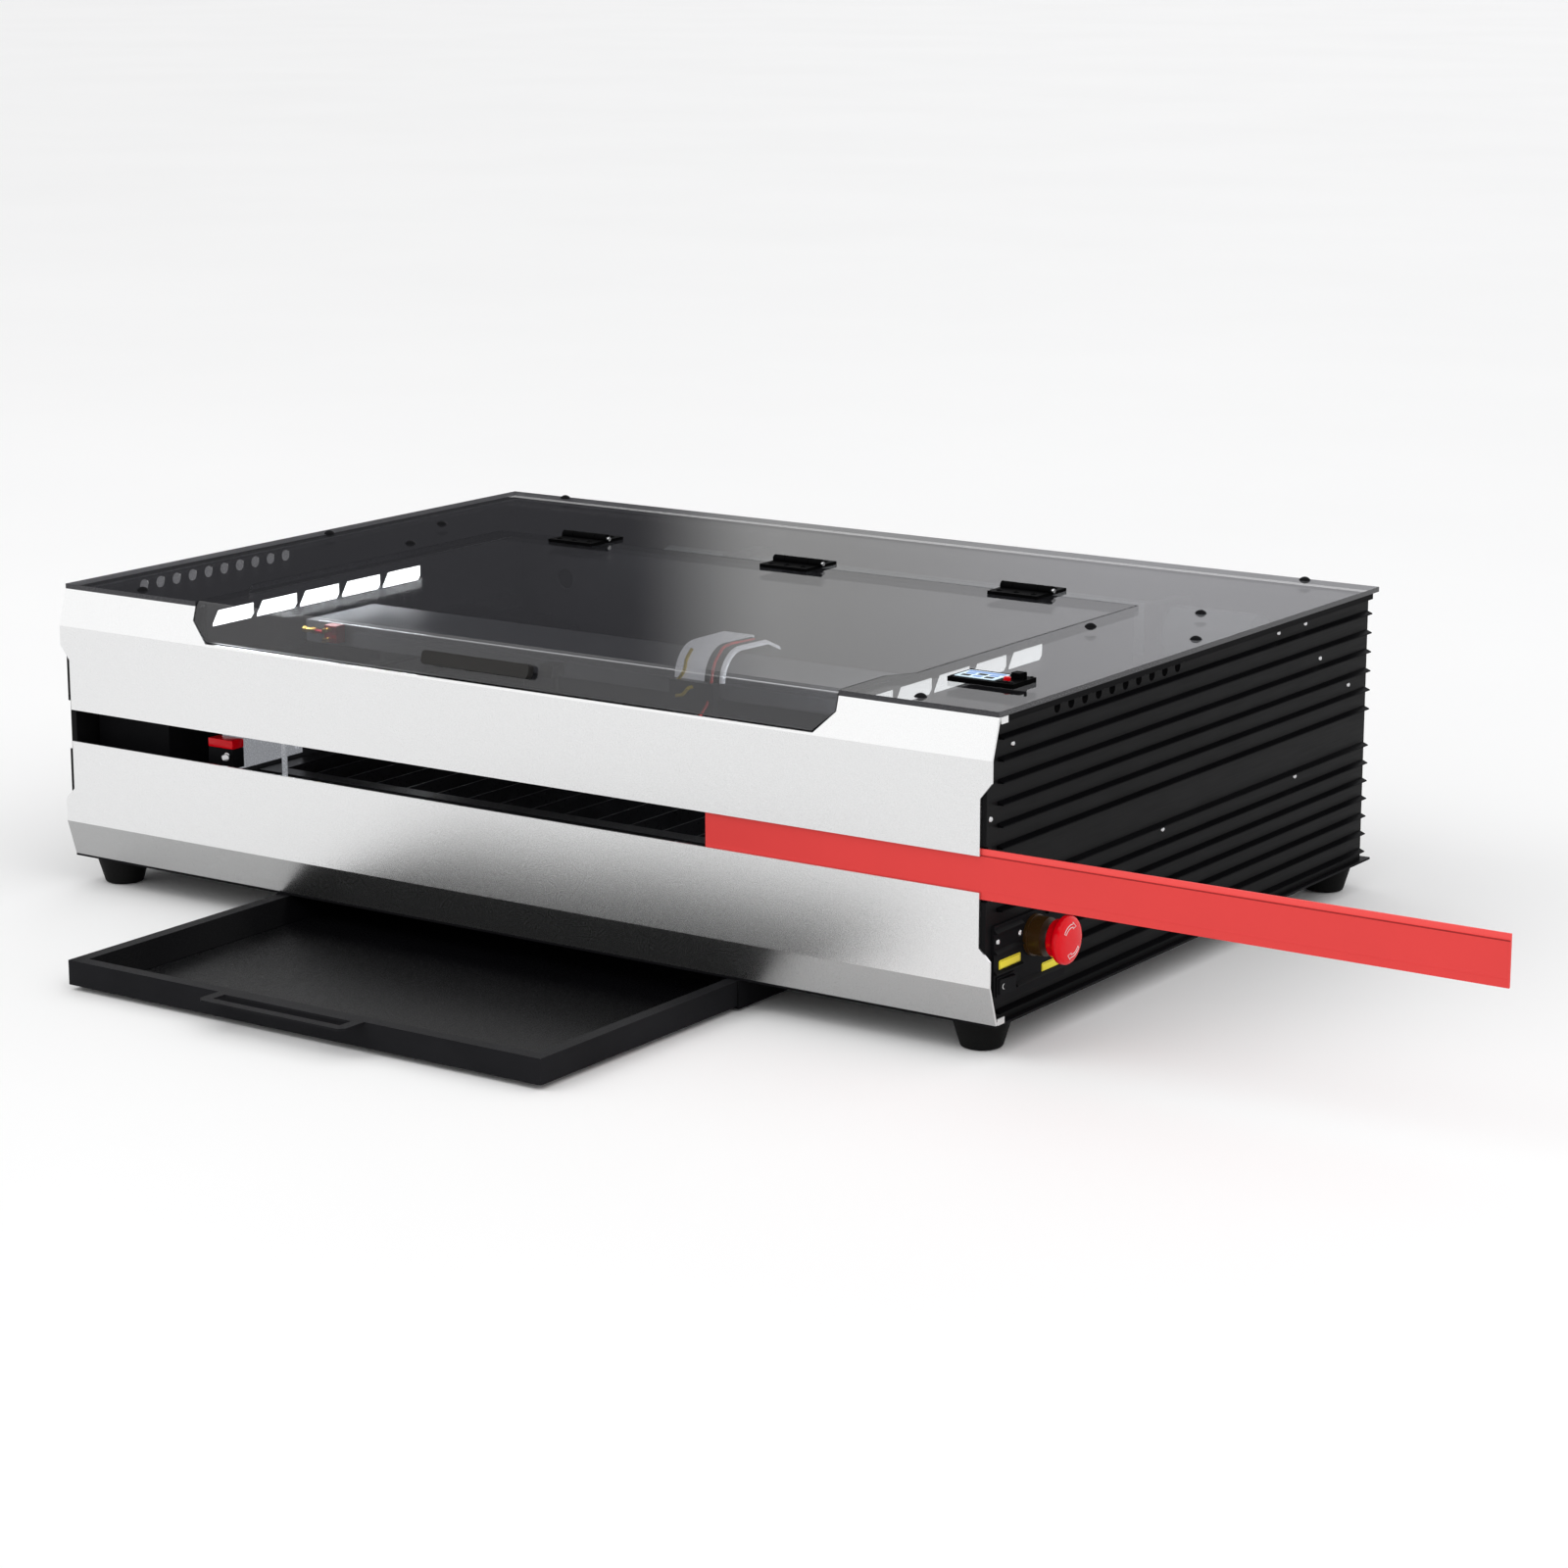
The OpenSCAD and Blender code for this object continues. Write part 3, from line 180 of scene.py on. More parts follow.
# tinted sheet: its broad faces, the front flap of the lid and the cut edges; the flap is the same
# sheet painted lighter and more reflective, a painted sheen
TINT = surface("tinted_acrylic", (0.012, 0.012, 0.014), 0.045, alpha=0.5, var=0.1,
               rough_var=0.025, grain=0.0, grain_scale=40)
TINT_FLAP_PAINTED_SHEEN = surface("tinted_flap_painted_sheen", (0.02, 0.02, 0.024), 0.06, ior=2.0, alpha=0.5, var=0.1,
                     rough_var=0.03, grain=0.0, grain_scale=40)
TINT_EDGE = surface("acrylic_edge", (0.008, 0.008, 0.01), 0.3, spec=0.2, var=0.1)
RIM = surface("polished_rim", (0.03, 0.03, 0.034), 0.25, spec=0.4)
# the left and rear cut edges of the top plate are painted pale as a painted highlight
RIM_PAINTED_HIGHLIGHT = surface("far_rim_painted_highlight", (0.4, 0.4, 0.42), 0.25, spec=0.4)

# rubber and plastic
RUBBER = surface("moulded_rubber", (0.006, 0.006, 0.006), 0.62, spec=0.3, ior=1.2, var=0.2,
                 grain=0.3, grain_scale=1100)
PLASTIC = surface("black_plastic", (0.005, 0.005, 0.006), 0.45, spec=0.3, ior=1.2, var=0.15,
                  grain=0.2, grain_scale=1500)
HANDLE = surface("handle_plastic", (0.02, 0.019, 0.018), 0.5, spec=0.2, var=0.12, grain=0.25,
                 grain_scale=1300)
COLLAR = surface("collar_plastic", (0.035, 0.016, 0.003), 0.35, spec=0.3, var=0.15, grain=0.1,
                 grain_scale=1000)

# red and yellow
COVER_RED = surface("red_satin_cover", (0.72, 0.045, 0.042), 0.5, spec=0.3, var=0.025,
                    var_scale=9, grain=0.08, grain_scale=1300)
# a lighter red on the cover's top fold is painted light, and the dark red line under it is
# painted shade
COVER_PAINTED_LIT = surface("red_cover_fold_painted_lit", (0.86, 0.075, 0.07), 0.5, spec=0.3, var=0.02,
                      var_scale=9, grain=0.08, grain_scale=1300)
COVER_PAINTED_CREASE_SHADE = surface("red_cover_crease_painted_shade", (0.3, 0.008, 0.008), 0.5, spec=0.3, var=0.05)
GLOSS_RED = surface("red_gloss_plastic", (0.74, 0.001, 0.008), 0.16, spec=0.35, ior=1.35,
                    var=0.03, grain=0.03, grain_scale=300)
ANODISED_RED = surface("red_anodised", (0.52, 0.02, 0.03), 0.35, metal=0.6, grain=0.08,
                       stretch=(1, 1, 0.1))
YELLOW = surface("yellow_plate", (0.85, 0.72, 0.01), 0.4, var=0.03, grain=0.04)
WIRE_RED = surface("red_wire", (0.6, 0.01, 0.01), 0.4, var=0.06)
WIRE_YELLOW = surface("yellow_wire", (0.75, 0.55, 0.02), 0.4, var=0.06)

# bare metal and the parts of the machine inside; a little glow stands in for the strip lights
BRUSHED = surface("brushed_aluminium", (0.55, 0.56, 0.58), 0.34, metal=0.85, var=0.05,
                  rough_var=0.1, grain=0.12, grain_scale=700, stretch=(0.03, 1, 1))
BEAM = surface("beam_grey", (0.2, 0.205, 0.225), 0.5, metal=0.1, var=0.05, grain=0.08,
               grain_scale=700, stretch=(0.03, 1, 1))
BEAM_EDGE_PAINTED_HIGHLIGHT = surface("beam_edge_painted_highlight", (0.8, 0.81, 0.83), 0.25, metal=0.6, var=0.05,
                    glow=0.9, glow_color=(0.95, 0.96, 1.0))
SHROUD = surface("shroud_grey", (0.62, 0.63, 0.66), 0.3, metal=0.2, var=0.05, grain=0.06,
                 glow=0.55, glow_color=(0.9, 0.92, 1.0))
CARRIAGE = surface("carriage_grey", (0.05, 0.051, 0.056), 0.35, metal=0.4, var=0.1, grain=0.08)
STEEL_LIT = surface("lit_steel", (0.7, 0.71, 0.73), 0.25, metal=0.6, var=0.05, glow=0.22,
                    glow_color=(0.9, 0.93, 1.0))
INNER = surface("inner_wall_metal", (0.06, 0.061, 0.066), 0.45, metal=0.4, grain=0.1,
                grain_scale=800, stretch=(1, 0.05, 1))
STEEL = surface("turned_steel", (0.6, 0.6, 0.61), 0.22, metal=1.0, var=0.05, grain=0.06,
                stretch=(1, 1, 8))
BRASS = surface("brass", (0.78, 0.5, 0.12), 0.28, metal=1.0, grain_scale=700)
TUBE = surface("tube_glass", (0.7, 0.8, 0.85), 0.05, alpha=0.35, var=0.02, grain=0.0)
BOARD = surface("circuit_board", (0.01, 0.1, 0.04), 0.35, var=0.3, var_scale=150, grain=0.1)

# lit parts, print and screen
LIT = surface("lit_diffuser", (0.9, 0.9, 0.92), 0.5, var=0.02, grain=0.0, glow=9.0,
              glow_color=(0.95, 0.98, 1.0))
LIT_DIM = surface("dim_diffuser", (0.75, 0.76, 0.78), 0.5, var=0.02, grain=0.0, glow=2.1,
                  glow_color=(0.95, 0.98, 1.0))
VENT_PAINTED_GLOW = surface("vent_screen", (0.25, 0.25, 0.26), 0.5, var=0.1, grain=0.1, grain_scale=1600,
               glow=0.3, glow_color=(0.95, 0.95, 1.0))
PRINT_WHITE = surface("white_print", (0.8, 0.8, 0.8), 0.5, var=0.02, grain=0.0)
SCREEN_BLUE = surface("screen_blue", (0.01, 0.06, 0.2), 0.2, var=0.1, grain=0.0, glow=0.6,
                      glow_color=(0.02, 0.2, 0.6))
SCREEN_LIGHT = surface("screen_light", (0.5, 0.62, 0.68), 0.3, var=0.1, grain=0.0, glow=0.3,
                       glow_color=(0.6, 0.85, 1.0))

# the finish of each material slot, and of the nodes that differ from their slot
SLOT_OF = {
    "white_panel": WHITE, "black_extrusion": EXTRUSION, "black_sheet": SHEET,
    "tinted_acrylic": TINT, "satin_metal": BRUSHED, "steel": STEEL, "black_plastic": PLASTIC,
    "handle_plastic": HANDLE, "red_cover": COVER_RED, "red_anodised": ANODISED_RED,
    "estop_red": GLOSS_RED, "collar_yellow": COLLAR, "rubber": RUBBER, "diffuser": LIT,
    "tube_glass": TUBE, "circuit_board": BOARD,
}
OWN = {
    "inner_wall_left": INNER, "inner_wall_right": INNER, "inner_wall_rear": INNER,
    "hinge_fixed_leaves": HINGE, "hinge_lid_leaves": HINGE, "display_case": HINGE,
    "screw_front_left": STEEL_LIT, "screw_front_right": STEEL_LIT,
    "gantry_beam": BEAM, "head_cover": SHROUD, "waste_tray": TRAY, "tray_handle": TRAY,
    "bed_slats": SLAT, "bed_frame": SLAT,
}
nodes = frame["nodes"]
for row in frame["record"]["subparts"]:
    node = nodes[row["node"]]
    mat = OWN.get(row["node"], SLOT_OF[row["material_slot"]])
    if not node.material_slots:
        node.data.materials.append(mat)
    for s in node.material_slots:
        s.material = mat


# ------------------------------------------------------------------ camera

CAM_AZ, CAM_EL = math.radians(34.404), math.radians(13.079)
CAM_PLACE = (2058.26, -2903.46, 922.22)
cam_data = bpy.data.cameras.new("camera")
cam = bpy.data.objects.new("camera", cam_data)
scene.collection.objects.link(cam)
scene.camera = cam
back = Vector((math.sin(CAM_AZ) * math.cos(CAM_EL), -math.cos(CAM_AZ) * math.cos(CAM_EL),
               math.sin(CAM_EL)))
cam.location = Vector(CAM_PLACE) * MM
cam.rotation_euler = (-back).to_track_quat("-Z", "Y").to_euler()
cam_data.sensor_width = 36
cam_data.lens = 90.76
cam_data.clip_start = 0.05
cam_data.clip_end = 1000


# ------------------------------------------------------------------ light and floor

def area(name, place, aim, size, watts, color=(1, 1, 1), size_y=None):
    """A rectangular lamp at one place, turned towards another."""
    data = bpy.data.lights.new(name, "AREA")
    data.shape = "RECTANGLE"
    data.size = size
    data.size_y = size_y or size
    data.energy = watts
    data.color = color
    lamp = bpy.data.objects.new(name, data)
    scene.collection.objects.link(lamp)
    lamp.location = place
    lamp.rotation_euler = (Vector(aim) - Vector(place)).to_track_quat("-Z", "Y").to_euler()
    lamp.visible_camera = False


# the floor reaches past the horizon of a low view
REACH = 300
FLOOR_GAP = 0.0005
mesh = bpy.data.meshes.new("floor")
mesh.from_pydata([(-REACH, -REACH, 0), (REACH, -REACH, 0), (REACH, REACH, 0), (-REACH, REACH, 0)],
                 [], [(0, 1, 2, 3)])
floor = bpy.data.objects.new("floor", mesh)
scene.collection.objects.link(floor)
floor.location.z = CAD_LOW[2] - FLOOR_GAP
mesh.materials.append(surface("pale_floor", (0.94, 0.94, 0.94), 0.7, spec=0.1, var=0.01,
                              var_scale=1, grain=0.0))

world = bpy.data.worlds.new("studio")
world.use_nodes = True
wt = world.node_tree
direction = wt.nodes.new("ShaderNodeTexCoord").outputs["Generated"]


def facing(vector, start, end):
    """0 to 1 as a direction of the room turns towards a vector."""
    dot = wt.nodes.new("ShaderNodeVectorMath")
    dot.operation = "DOT_PRODUCT"
    dot.inputs[1].default_value = vector
    wt.links.new(direction, dot.inputs[0])
    step = wt.nodes.new("ShaderNodeMapRange")
    step.interpolation_type = "SMOOTHSTEP"
    step.inputs["From Min"].default_value = start
    step.inputs["From Max"].default_value = end
    wt.links.new(dot.outputs["Value"], step.inputs["Value"])
    return step.outputs[0]


def times(a, b):
    """The product of two sockets."""
    node = wt.nodes.new("ShaderNodeMath")
    node.operation = "MULTIPLY"
    for socket, value in zip(node.inputs, (a, b)):
        wt.links.new(value, socket)
    return node.outputs[0]


def blend_to(base, col, fac):
    """A colour that goes from base, a colour or a socket, to col as fac goes to 1."""
    node = wt.nodes.new("ShaderNodeMix")
    node.data_type = "RGBA"
    node.inputs["B"].default_value = (*col, 1)
    wt.links.new(fac, node.inputs["Factor"])
    if isinstance(base, tuple):
        node.inputs["A"].default_value = (*base, 1)
    else:
        wt.links.new(base, node.inputs["A"])
    return node.outputs["Result"]


# White room. What the glossy faces mirror from low behind the object is a dark flag on the left
# and a bright card on the right.
ROOM, FLAG, CARD = (1.0, 1.0, 1.0), (0.1, 0.1, 0.11), (1.25, 1.25, 1.3)
AHEAD = (-math.sin(CAM_AZ), math.cos(CAM_AZ), 0)
ASIDE = (math.cos(CAM_AZ), math.sin(CAM_AZ), 0)
lower = facing(DOWN, -0.62, -0.42)
behind = times(lower, facing(AHEAD, 0.35, 0.6))
flag = times(behind, facing(tuple(-v for v in ASIDE), 0.0, 0.04))
card = times(behind, facing(ASIDE, 0.0, 0.1))
sky = blend_to(blend_to(ROOM, FLAG, flag), CARD, card)
wt.links.new(sky, wt.nodes["Background"].inputs["Color"])
wt.nodes["Background"].inputs["Strength"].default_value = 1.0
scene.world = world
scene.view_settings.view_transform = "Standard"

area("key", (-1.8, -2.6, 3.6), (0, 0, 0.1), size=2.4, watts=25)
area("fill", (3.0, -1.2, 3.0), (0.2, 0, 0.1), size=2.0, watts=8)


# ------------------------------------------------------------------ piece building

TINY = 1e-6


def finish_piece(name, bm, mats, body, smooth=35):
    """Turns a bmesh in millimetres into a piece that rides on a body."""
    bmesh.ops.remove_doubles(bm, verts=bm.verts, dist=0.001)
    bmesh.ops.recalc_face_normals(bm, faces=bm.faces)
    bmesh.ops.scale(bm, vec=(MM, MM, MM), verts=bm.verts)
    data = bpy.data.meshes.new(name)
    bm.to_mesh(data)
    bm.free()
    for m in mats if isinstance(mats, list) else [mats]:
        data.materials.append(m)
    made = bpy.data.objects.new(name, data)
    scene.collection.objects.link(made)
    data.shade_smooth()
    data.set_sharp_from_angle(angle=math.radians(smooth))
    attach(made, body)
    return made


def dressed(node, name, body, mats, choose):
    """A copy of a node's mesh, with a material for each face chosen by its normal and centre."""
    data = nodes[node].data.copy()
    data.name = name
    data.materials.clear()
    for m in mats:
        data.materials.append(m)
    for face in data.polygons:
        face.material_index = choose(face.normal, face.center / MM)
    made = bpy.data.objects.new(name, data)
    scene.collection.objects.link(made)
    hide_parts(node)
    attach(made, body)


def edges_of(node):
    """The lowest and highest corner of a node in millimetres."""
    low_, high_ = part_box(node)
    return [v / MM for v in low_], [v / MM for v in high_]


def middle(low_, high_):
    return [(a + b) / 2 for a, b in zip(low_, high_)]


def turn(axis):
    """Rotation that takes +Z onto an axis."""
    return Vector(UP).rotation_difference(Vector(axis)).to_matrix().to_4x4()


def merge(bm, part, index):
    """Adds one bmesh to another, all in one material, and frees it."""
    for face in part.faces:
        face.material_index = index
    temp = bpy.data.meshes.new("temp")
    part.to_mesh(temp)
    part.free()
    bm.from_mesh(temp)
    bpy.data.meshes.remove(temp)


def lathe(bm, profile, place, axis=UP, steps=48, index=0):
    """Revolves a list of (radius, height) about an axis through place."""
    spin = Matrix.Translation(place) @ turn(axis)
    rings = []
    for r, h in profile:
        if r < TINY:
            rings.append([bm.verts.new(spin @ Vector((0, 0, h)))])
            continue
        angles = [2 * math.pi * i / steps for i in range(steps)]
        rings.append([bm.verts.new(spin @ Vector((r * math.cos(t), r * math.sin(t), h)))
                      for t in angles])
    for a, b in zip(rings, rings[1:]):
        if len(a) == 1 and len(b) == 1:
            continue
        for i in range(steps):
            j = (i + 1) % steps
            if len(a) == 1:
                face = bm.faces.new((a[0], b[i], b[j]))
            elif len(b) == 1:
                face = bm.faces.new((a[i], a[j], b[0]))
            else:
                face = bm.faces.new((a[i], a[j], b[j], b[i]))
            face.material_index = index


def slab(bm, outline, z0, z1, place, bevel=0.0, index=0):
    """A flat plate from an outline of (x, y) points between two heights, put at a place."""
    part = bmesh.new()
    bottom = [part.verts.new((x, y, z0)) for x, y in outline]
    top = [part.verts.new((x, y, z1)) for x, y in outline]
    n = len(outline)
    part.faces.new(bottom)
    part.faces.new(list(reversed(top)))
    for i in range(n):
        part.faces.new((bottom[i], bottom[(i + 1) % n], top[(i + 1) % n], top[i]))
    bmesh.ops.recalc_face_normals(part, faces=part.faces)
    if bevel:
        edges = [e for e in part.edges if abs(e.verts[0].co.z - e.verts[1].co.z) < TINY]
        bmesh.ops.bevel(part, geom=edges, offset=bevel, segments=2, profile=0.6, affect="EDGES")
    bmesh.ops.transform(part, matrix=place, verts=part.verts)
    merge(bm, part, index)


def block(bm, low_, high_, bevel=0.3, index=0):
    """A bevelled box between two corners."""
    part = bmesh.new()
    bmesh.ops.create_cube(part, size=1)
    bmesh.ops.scale(part, vec=[b - a for a, b in zip(low_, high_)], verts=part.verts)
    bmesh.ops.translate(part, vec=middle(low_, high_), verts=part.verts)
    bmesh.ops.bevel(part, geom=part.edges[:], offset=bevel, segments=2, profile=0.6,
                    affect="EDGES")
    merge(bm, part, index)


def rounded(w, h, r, steps=5):
    """Outline of a rectangle with round corners, centred."""
    points = []
    for cx, cy, a in ((w / 2 - r, h / 2 - r, 0), (r - w / 2, h / 2 - r, 90),
                      (r - w / 2, r - h / 2, 180), (w / 2 - r, r - h / 2, 270)):
        for i in range(steps + 1):
            t = math.radians(a + 90 * i / steps)
            points.append((cx + r * math.cos(t), cy + r * math.sin(t)))
    return points


def smooth_path(points, per=8):
    """Points of a smooth curve through the given ones."""
    pts = [Vector(p) for p in points]
    pts = [2 * pts[0] - pts[1]] + pts + [2 * pts[-1] - pts[-2]]
    out = []
    for i in range(1, len(pts) - 2):
        a, b, c, d = pts[i - 1:i + 3]
        for k in range(per):
            t = k / per
            out.append(0.5 * ((2 * b) + (c - a) * t + (2 * a - 5 * b + 4 * c - d) * t * t
                              + (3 * b - a - 3 * c + d) * t ** 3))
    out.append(pts[-2])
    return out


def tube(bm, path, radius, sides=8, index=0, closed=False, flat=1.0):
    """A tube along a list of points, rounder or flatter, capped at open ends."""
    rings = []
    n = len(path)
    side = None
    for i, p in enumerate(path):
        before = path[i - 1] if (i or closed) else p
        after = path[(i + 1) % n] if (i < n - 1 or closed) else p
        along = (after - before).normalized()
        if side is None:
            side = along.orthogonal().normalized()
        side = (side - along * side.dot(along)).normalized()
        other = along.cross(side)
        angles = [2 * math.pi * k / sides for k in range(sides)]
        rings.append([bm.verts.new(p + radius * (side * math.cos(t) + flat * other * math.sin(t)))
                      for t in angles])
    pairs = list(zip(rings, rings[1:])) + ([(rings[-1], rings[0])] if closed else [])
    faces = [(a[k], a[(k + 1) % sides], b[(k + 1) % sides], b[k])
             for a, b in pairs for k in range(sides)]
    if not closed:
        faces += [list(reversed(rings[0])), rings[-1]]
    for corners in faces:
        bm.faces.new(corners).material_index = index


def pan_screw(bm, place, axis, r, h, index=0):
    """A domed screw head with a hexagonal socket."""
    lathe(bm, [(r, 0), (r, h * 0.25), (r * 0.9, h * 0.6), (r * 0.7, h * 0.88), (r * 0.45, h),
               (r * 0.42, h * 0.55), (0, h * 0.5)], place, axis, 20, index)


# ------------------------------------------------------------------ tinted plates and windows

SQUARE = 0.9                                # a normal this far along an axis is square to it
PLATE_SIDE_X, PLATE_REAR_Y = 490, 320       # beyond these lie the outer edges of the top plate
LID_LOW_Z = 260                             # below this lie the lower edges of the lid


def flat_or_rim(normal, centre):
    """0 on the faces of the sheet, 1 on its cut edges, 2 on the left and rear ones, painted paler
    as a painted highlight.
    """
    if abs(normal.z) > SQUARE:
        return 0
    outer_edge = abs(centre[0]) > PLATE_SIDE_X or centre[1] > PLATE_REAR_Y
    return 2 if outer_edge and (normal.x < -0.5 or normal.y > 0.5) else 1


def lid_face(normal, centre):
    """0 on the faces of the sheet, 1 on its cut edges, 2 on the flap that leans to the front,
    which carries a painted sheen.
    """
    if normal.y < -0.2 and centre[1] < 0:
        return 2
    if abs(normal.x) > 0.5:
        return 1
    rear_edge = normal.y > SQUARE and centre[1] > 0
    low_edge = normal.z < -SQUARE and centre[2] < LID_LOW_Z
    return 1 if rear_edge or low_edge else 0


dressed("top_plate", "top_sheet", "chassis", [TINT, RIM, RIM_PAINTED_HIGHLIGHT], flat_or_rim)
dressed("lid_glass", "lid_sheet", "lid", [TINT, TINT_EDGE, TINT_FLAP_PAINTED_SHEEN],
        lid_face)
dressed("light_diffusers", "lit_windows", "chassis", [LIT, LIT_DIM],
        lambda normal, centre: 0 if centre[0] < 0 else 1)


# ------------------------------------------------------------------ display

case_lo, case_hi = edges_of("display_case")
CASE_FACE = case_lo[2] + 4
SCREEN_X, SCREEN_T, MARK_T = -9, 0.5, 0.15
SCREEN_SIZE, BAR_SIZE, FIELD_SIZE = (38, 26, 1.5), (34, 5, 0.5), (8, 5.5, 0.8)
BAR_Y, FIELD_STEP_X, FIELD_STEP_Y = 8.5, 11, 8
cx, cy, _ = middle(case_lo, case_hi)

# screen with a bar along the top and six fields under it, all blank
bm = bmesh.new()
screen_at = Matrix.Translation((cx + SCREEN_X, cy, 0))
screen_z = CASE_FACE + SCREEN_T
slab(bm, rounded(*SCREEN_SIZE), CASE_FACE, screen_z, screen_at, 0.15, 2)
slab(bm, rounded(*BAR_SIZE), screen_z, screen_z + MARK_T,
     screen_at @ Matrix.Translation((0, BAR_Y, 0)), 0, 1)
for col in range(3):
    for row in range(2):
        field_at = Matrix.Translation((FIELD_STEP_X * (col - 1), 1 - FIELD_STEP_Y * row, 0))
        slab(bm, rounded(*FIELD_SIZE), screen_z, screen_z + MARK_T, screen_at @ field_at, 0,
             0 if (col + row) % 2 else 1)
finish_piece("display_screen", bm, [PLASTIC, SCREEN_BLUE, SCREEN_LIGHT], "chassis")

# three small buttons and a screw in each corner of the case
BUTTON_X, BUTTON_Y, BUTTON_STEP, BUTTON_W, BUTTON_H = 13, -14, 5, 3.5, 0.9
CORNER_IN = 2.6
bm = bmesh.new()
for k in range(3):
    x, y = cx + BUTTON_X + BUTTON_STEP * k, cy + BUTTON_Y
    block(bm, (x, y, CASE_FACE), (x + BUTTON_W, y + BUTTON_W, CASE_FACE + BUTTON_H))
for x in (case_lo[0] + CORNER_IN, case_hi[0] - CORNER_IN):
    for y in (case_lo[1] + CORNER_IN, case_hi[1] - CORNER_IN):
        pan_screw(bm, (x, y, CASE_FACE), UP, 1.5, BUTTON_H)
finish_piece("display_trim", bm, PLASTIC, "chassis")


# ------------------------------------------------------------------ stop button

head_lo, head_hi = edges_of("estop_head")
ex = head_lo[0]
_, ey, ez = middle(head_lo, head_hi)
HEAD_PROFILE = [(6.2, 8.8), (6.2, 0), (13.5, 0), (15, 0.6), (15.8, 2), (16, 5), (17, 7),
                (19, 8.2), (19.8, 9), (20, 10), (20, 12.6), (19.6, 13.8), (18.6, 14.8),
                (17, 15.5), (13, 16.3), (7, 16.85), (0, 17)]
bm = bmesh.new()
lathe(bm, HEAD_PROFILE, (ex, ey, ez), RIGHT, 72)
estop = finish_piece("estop_mushroom", bm, GLOSS_RED, "estop_head", 50)
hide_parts("estop_head")


def dome(r):
    """Height of the mushroom's face at a radius."""
    for (r1, h1), (r0, h0) in zip(HEAD_PROFILE[-5:], HEAD_PROFILE[-4:]):
        if r0 <= r <= r1:
            return h0 + (h1 - h0) * (r - r0) / (r1 - r0)
    return HEAD_PROFILE[-1][1]


ARROW_IN, ARROW_OUT = 11.2, 13.6        # radii of the arrow's shaft
ARROW_SWEEP, TIP_SWEEP = 62, 22         # degrees
BARB = 1.5
LINE_R, PRINT_LIFT = 0.33, 0.02


def arrow(start):
    """Outline of a curved arrow as (radius, angle) points."""
    steps = 10
    end = start + ARROW_SWEEP
    angles = [start + ARROW_SWEEP * i / steps for i in range(steps + 1)]
    line = [(ARROW_OUT, t) for t in angles]
    line += [(ARROW_OUT + BARB, end), ((ARROW_IN + ARROW_OUT) / 2, end + TIP_SWEEP),
             (ARROW_IN - BARB, end)]
    return line + [(ARROW_IN, t) for t in reversed(angles)]


bm = bmesh.new()
for start in (35, 215):             # one on each side
    points = []
    for r, degrees in arrow(start):
        t = math.radians(degrees)
        points.append(Vector((ex + dome(r) + PRINT_LIFT, ey - r * math.cos(t),
                              ez + r * math.sin(t))))
    tube(bm, points, LINE_R, 6, 0, True)
finish_piece("estop_arrows", bm, PRINT_WHITE, "estop_head")


# ------------------------------------------------------------------ control plate

plate_lo, plate_hi = edges_of("control_plate")
wall_x = edges_of("right_wall_lower")[1][0]
FACE_X = plate_hi[0] - 1.2

# the wall's fins carried across the plate, round the stop button and short of the rocker
FIN_TOP_Z, FIN_STEP = 137.5, 16.75
BUTTON_CLEAR_Y, BUTTON_CLEAR_Z = 19, 21
ROCKER_CLEAR_Y, ROCKER_CLEAR_Z = -298, 60
bm = bmesh.new()
for k in (2, 3, 4, 5):
    z = FIN_TOP_Z - k * FIN_STEP
    for y0, y1 in ((plate_lo[1], ey - BUTTON_CLEAR_Y), (ey + BUTTON_CLEAR_Y, plate_hi[1])):
        if abs(z - ez) > BUTTON_CLEAR_Z:
            y0, y1 = plate_lo[1], plate_hi[1]
        if z < ROCKER_CLEAR_Z:
            y0 = max(y0, ROCKER_CLEAR_Y)
        section = [(FACE_X, z + 1.6), (wall_x, z - 0.6), (wall_x, z - 1.5), (FACE_X, z - 1.9)]
        a = [bm.verts.new((x, y0, height)) for x, height in section]
        b = [bm.verts.new((x, y1, height)) for x, height in section]
        bm.faces.new(a)
        bm.faces.new(list(reversed(b)))
        for i in range(4):
            bm.faces.new((a[i], b[i], b[(i + 1) % 4], a[(i + 1) % 4]))
finish_piece("plate_fins", bm, EXTRUSION, "chassis", 20)

# two blank yellow plates with a thin black frame
ONTO_SIDE = Matrix(((0, 0, 1, 0), (1, 0, 0, 0), (0, 1, 0, 0), (0, 0, 0, 1)))
LABEL_H, LABEL_T = 8, 0.4
for tag, y, z, w in (("a", -307, 75.2, 33), ("b", -240, 58, 34)):
    bm = bmesh.new()
    at = Matrix.Translation((FACE_X, y, z)) @ ONTO_SIDE
    slab(bm, rounded(w, LABEL_H, 1.8), 0, LABEL_T, at, 0.1)
    outline = [at @ Vector((px, py, LABEL_T + PRINT_LIFT))
               for px, py in rounded(w - 2, LABEL_H - 2, 1.2)]
    tube(bm, outline, 0.14, 4, 1, True)
    finish_piece("blank_plate_" + tag, bm, [YELLOW, PLASTIC], "chassis")

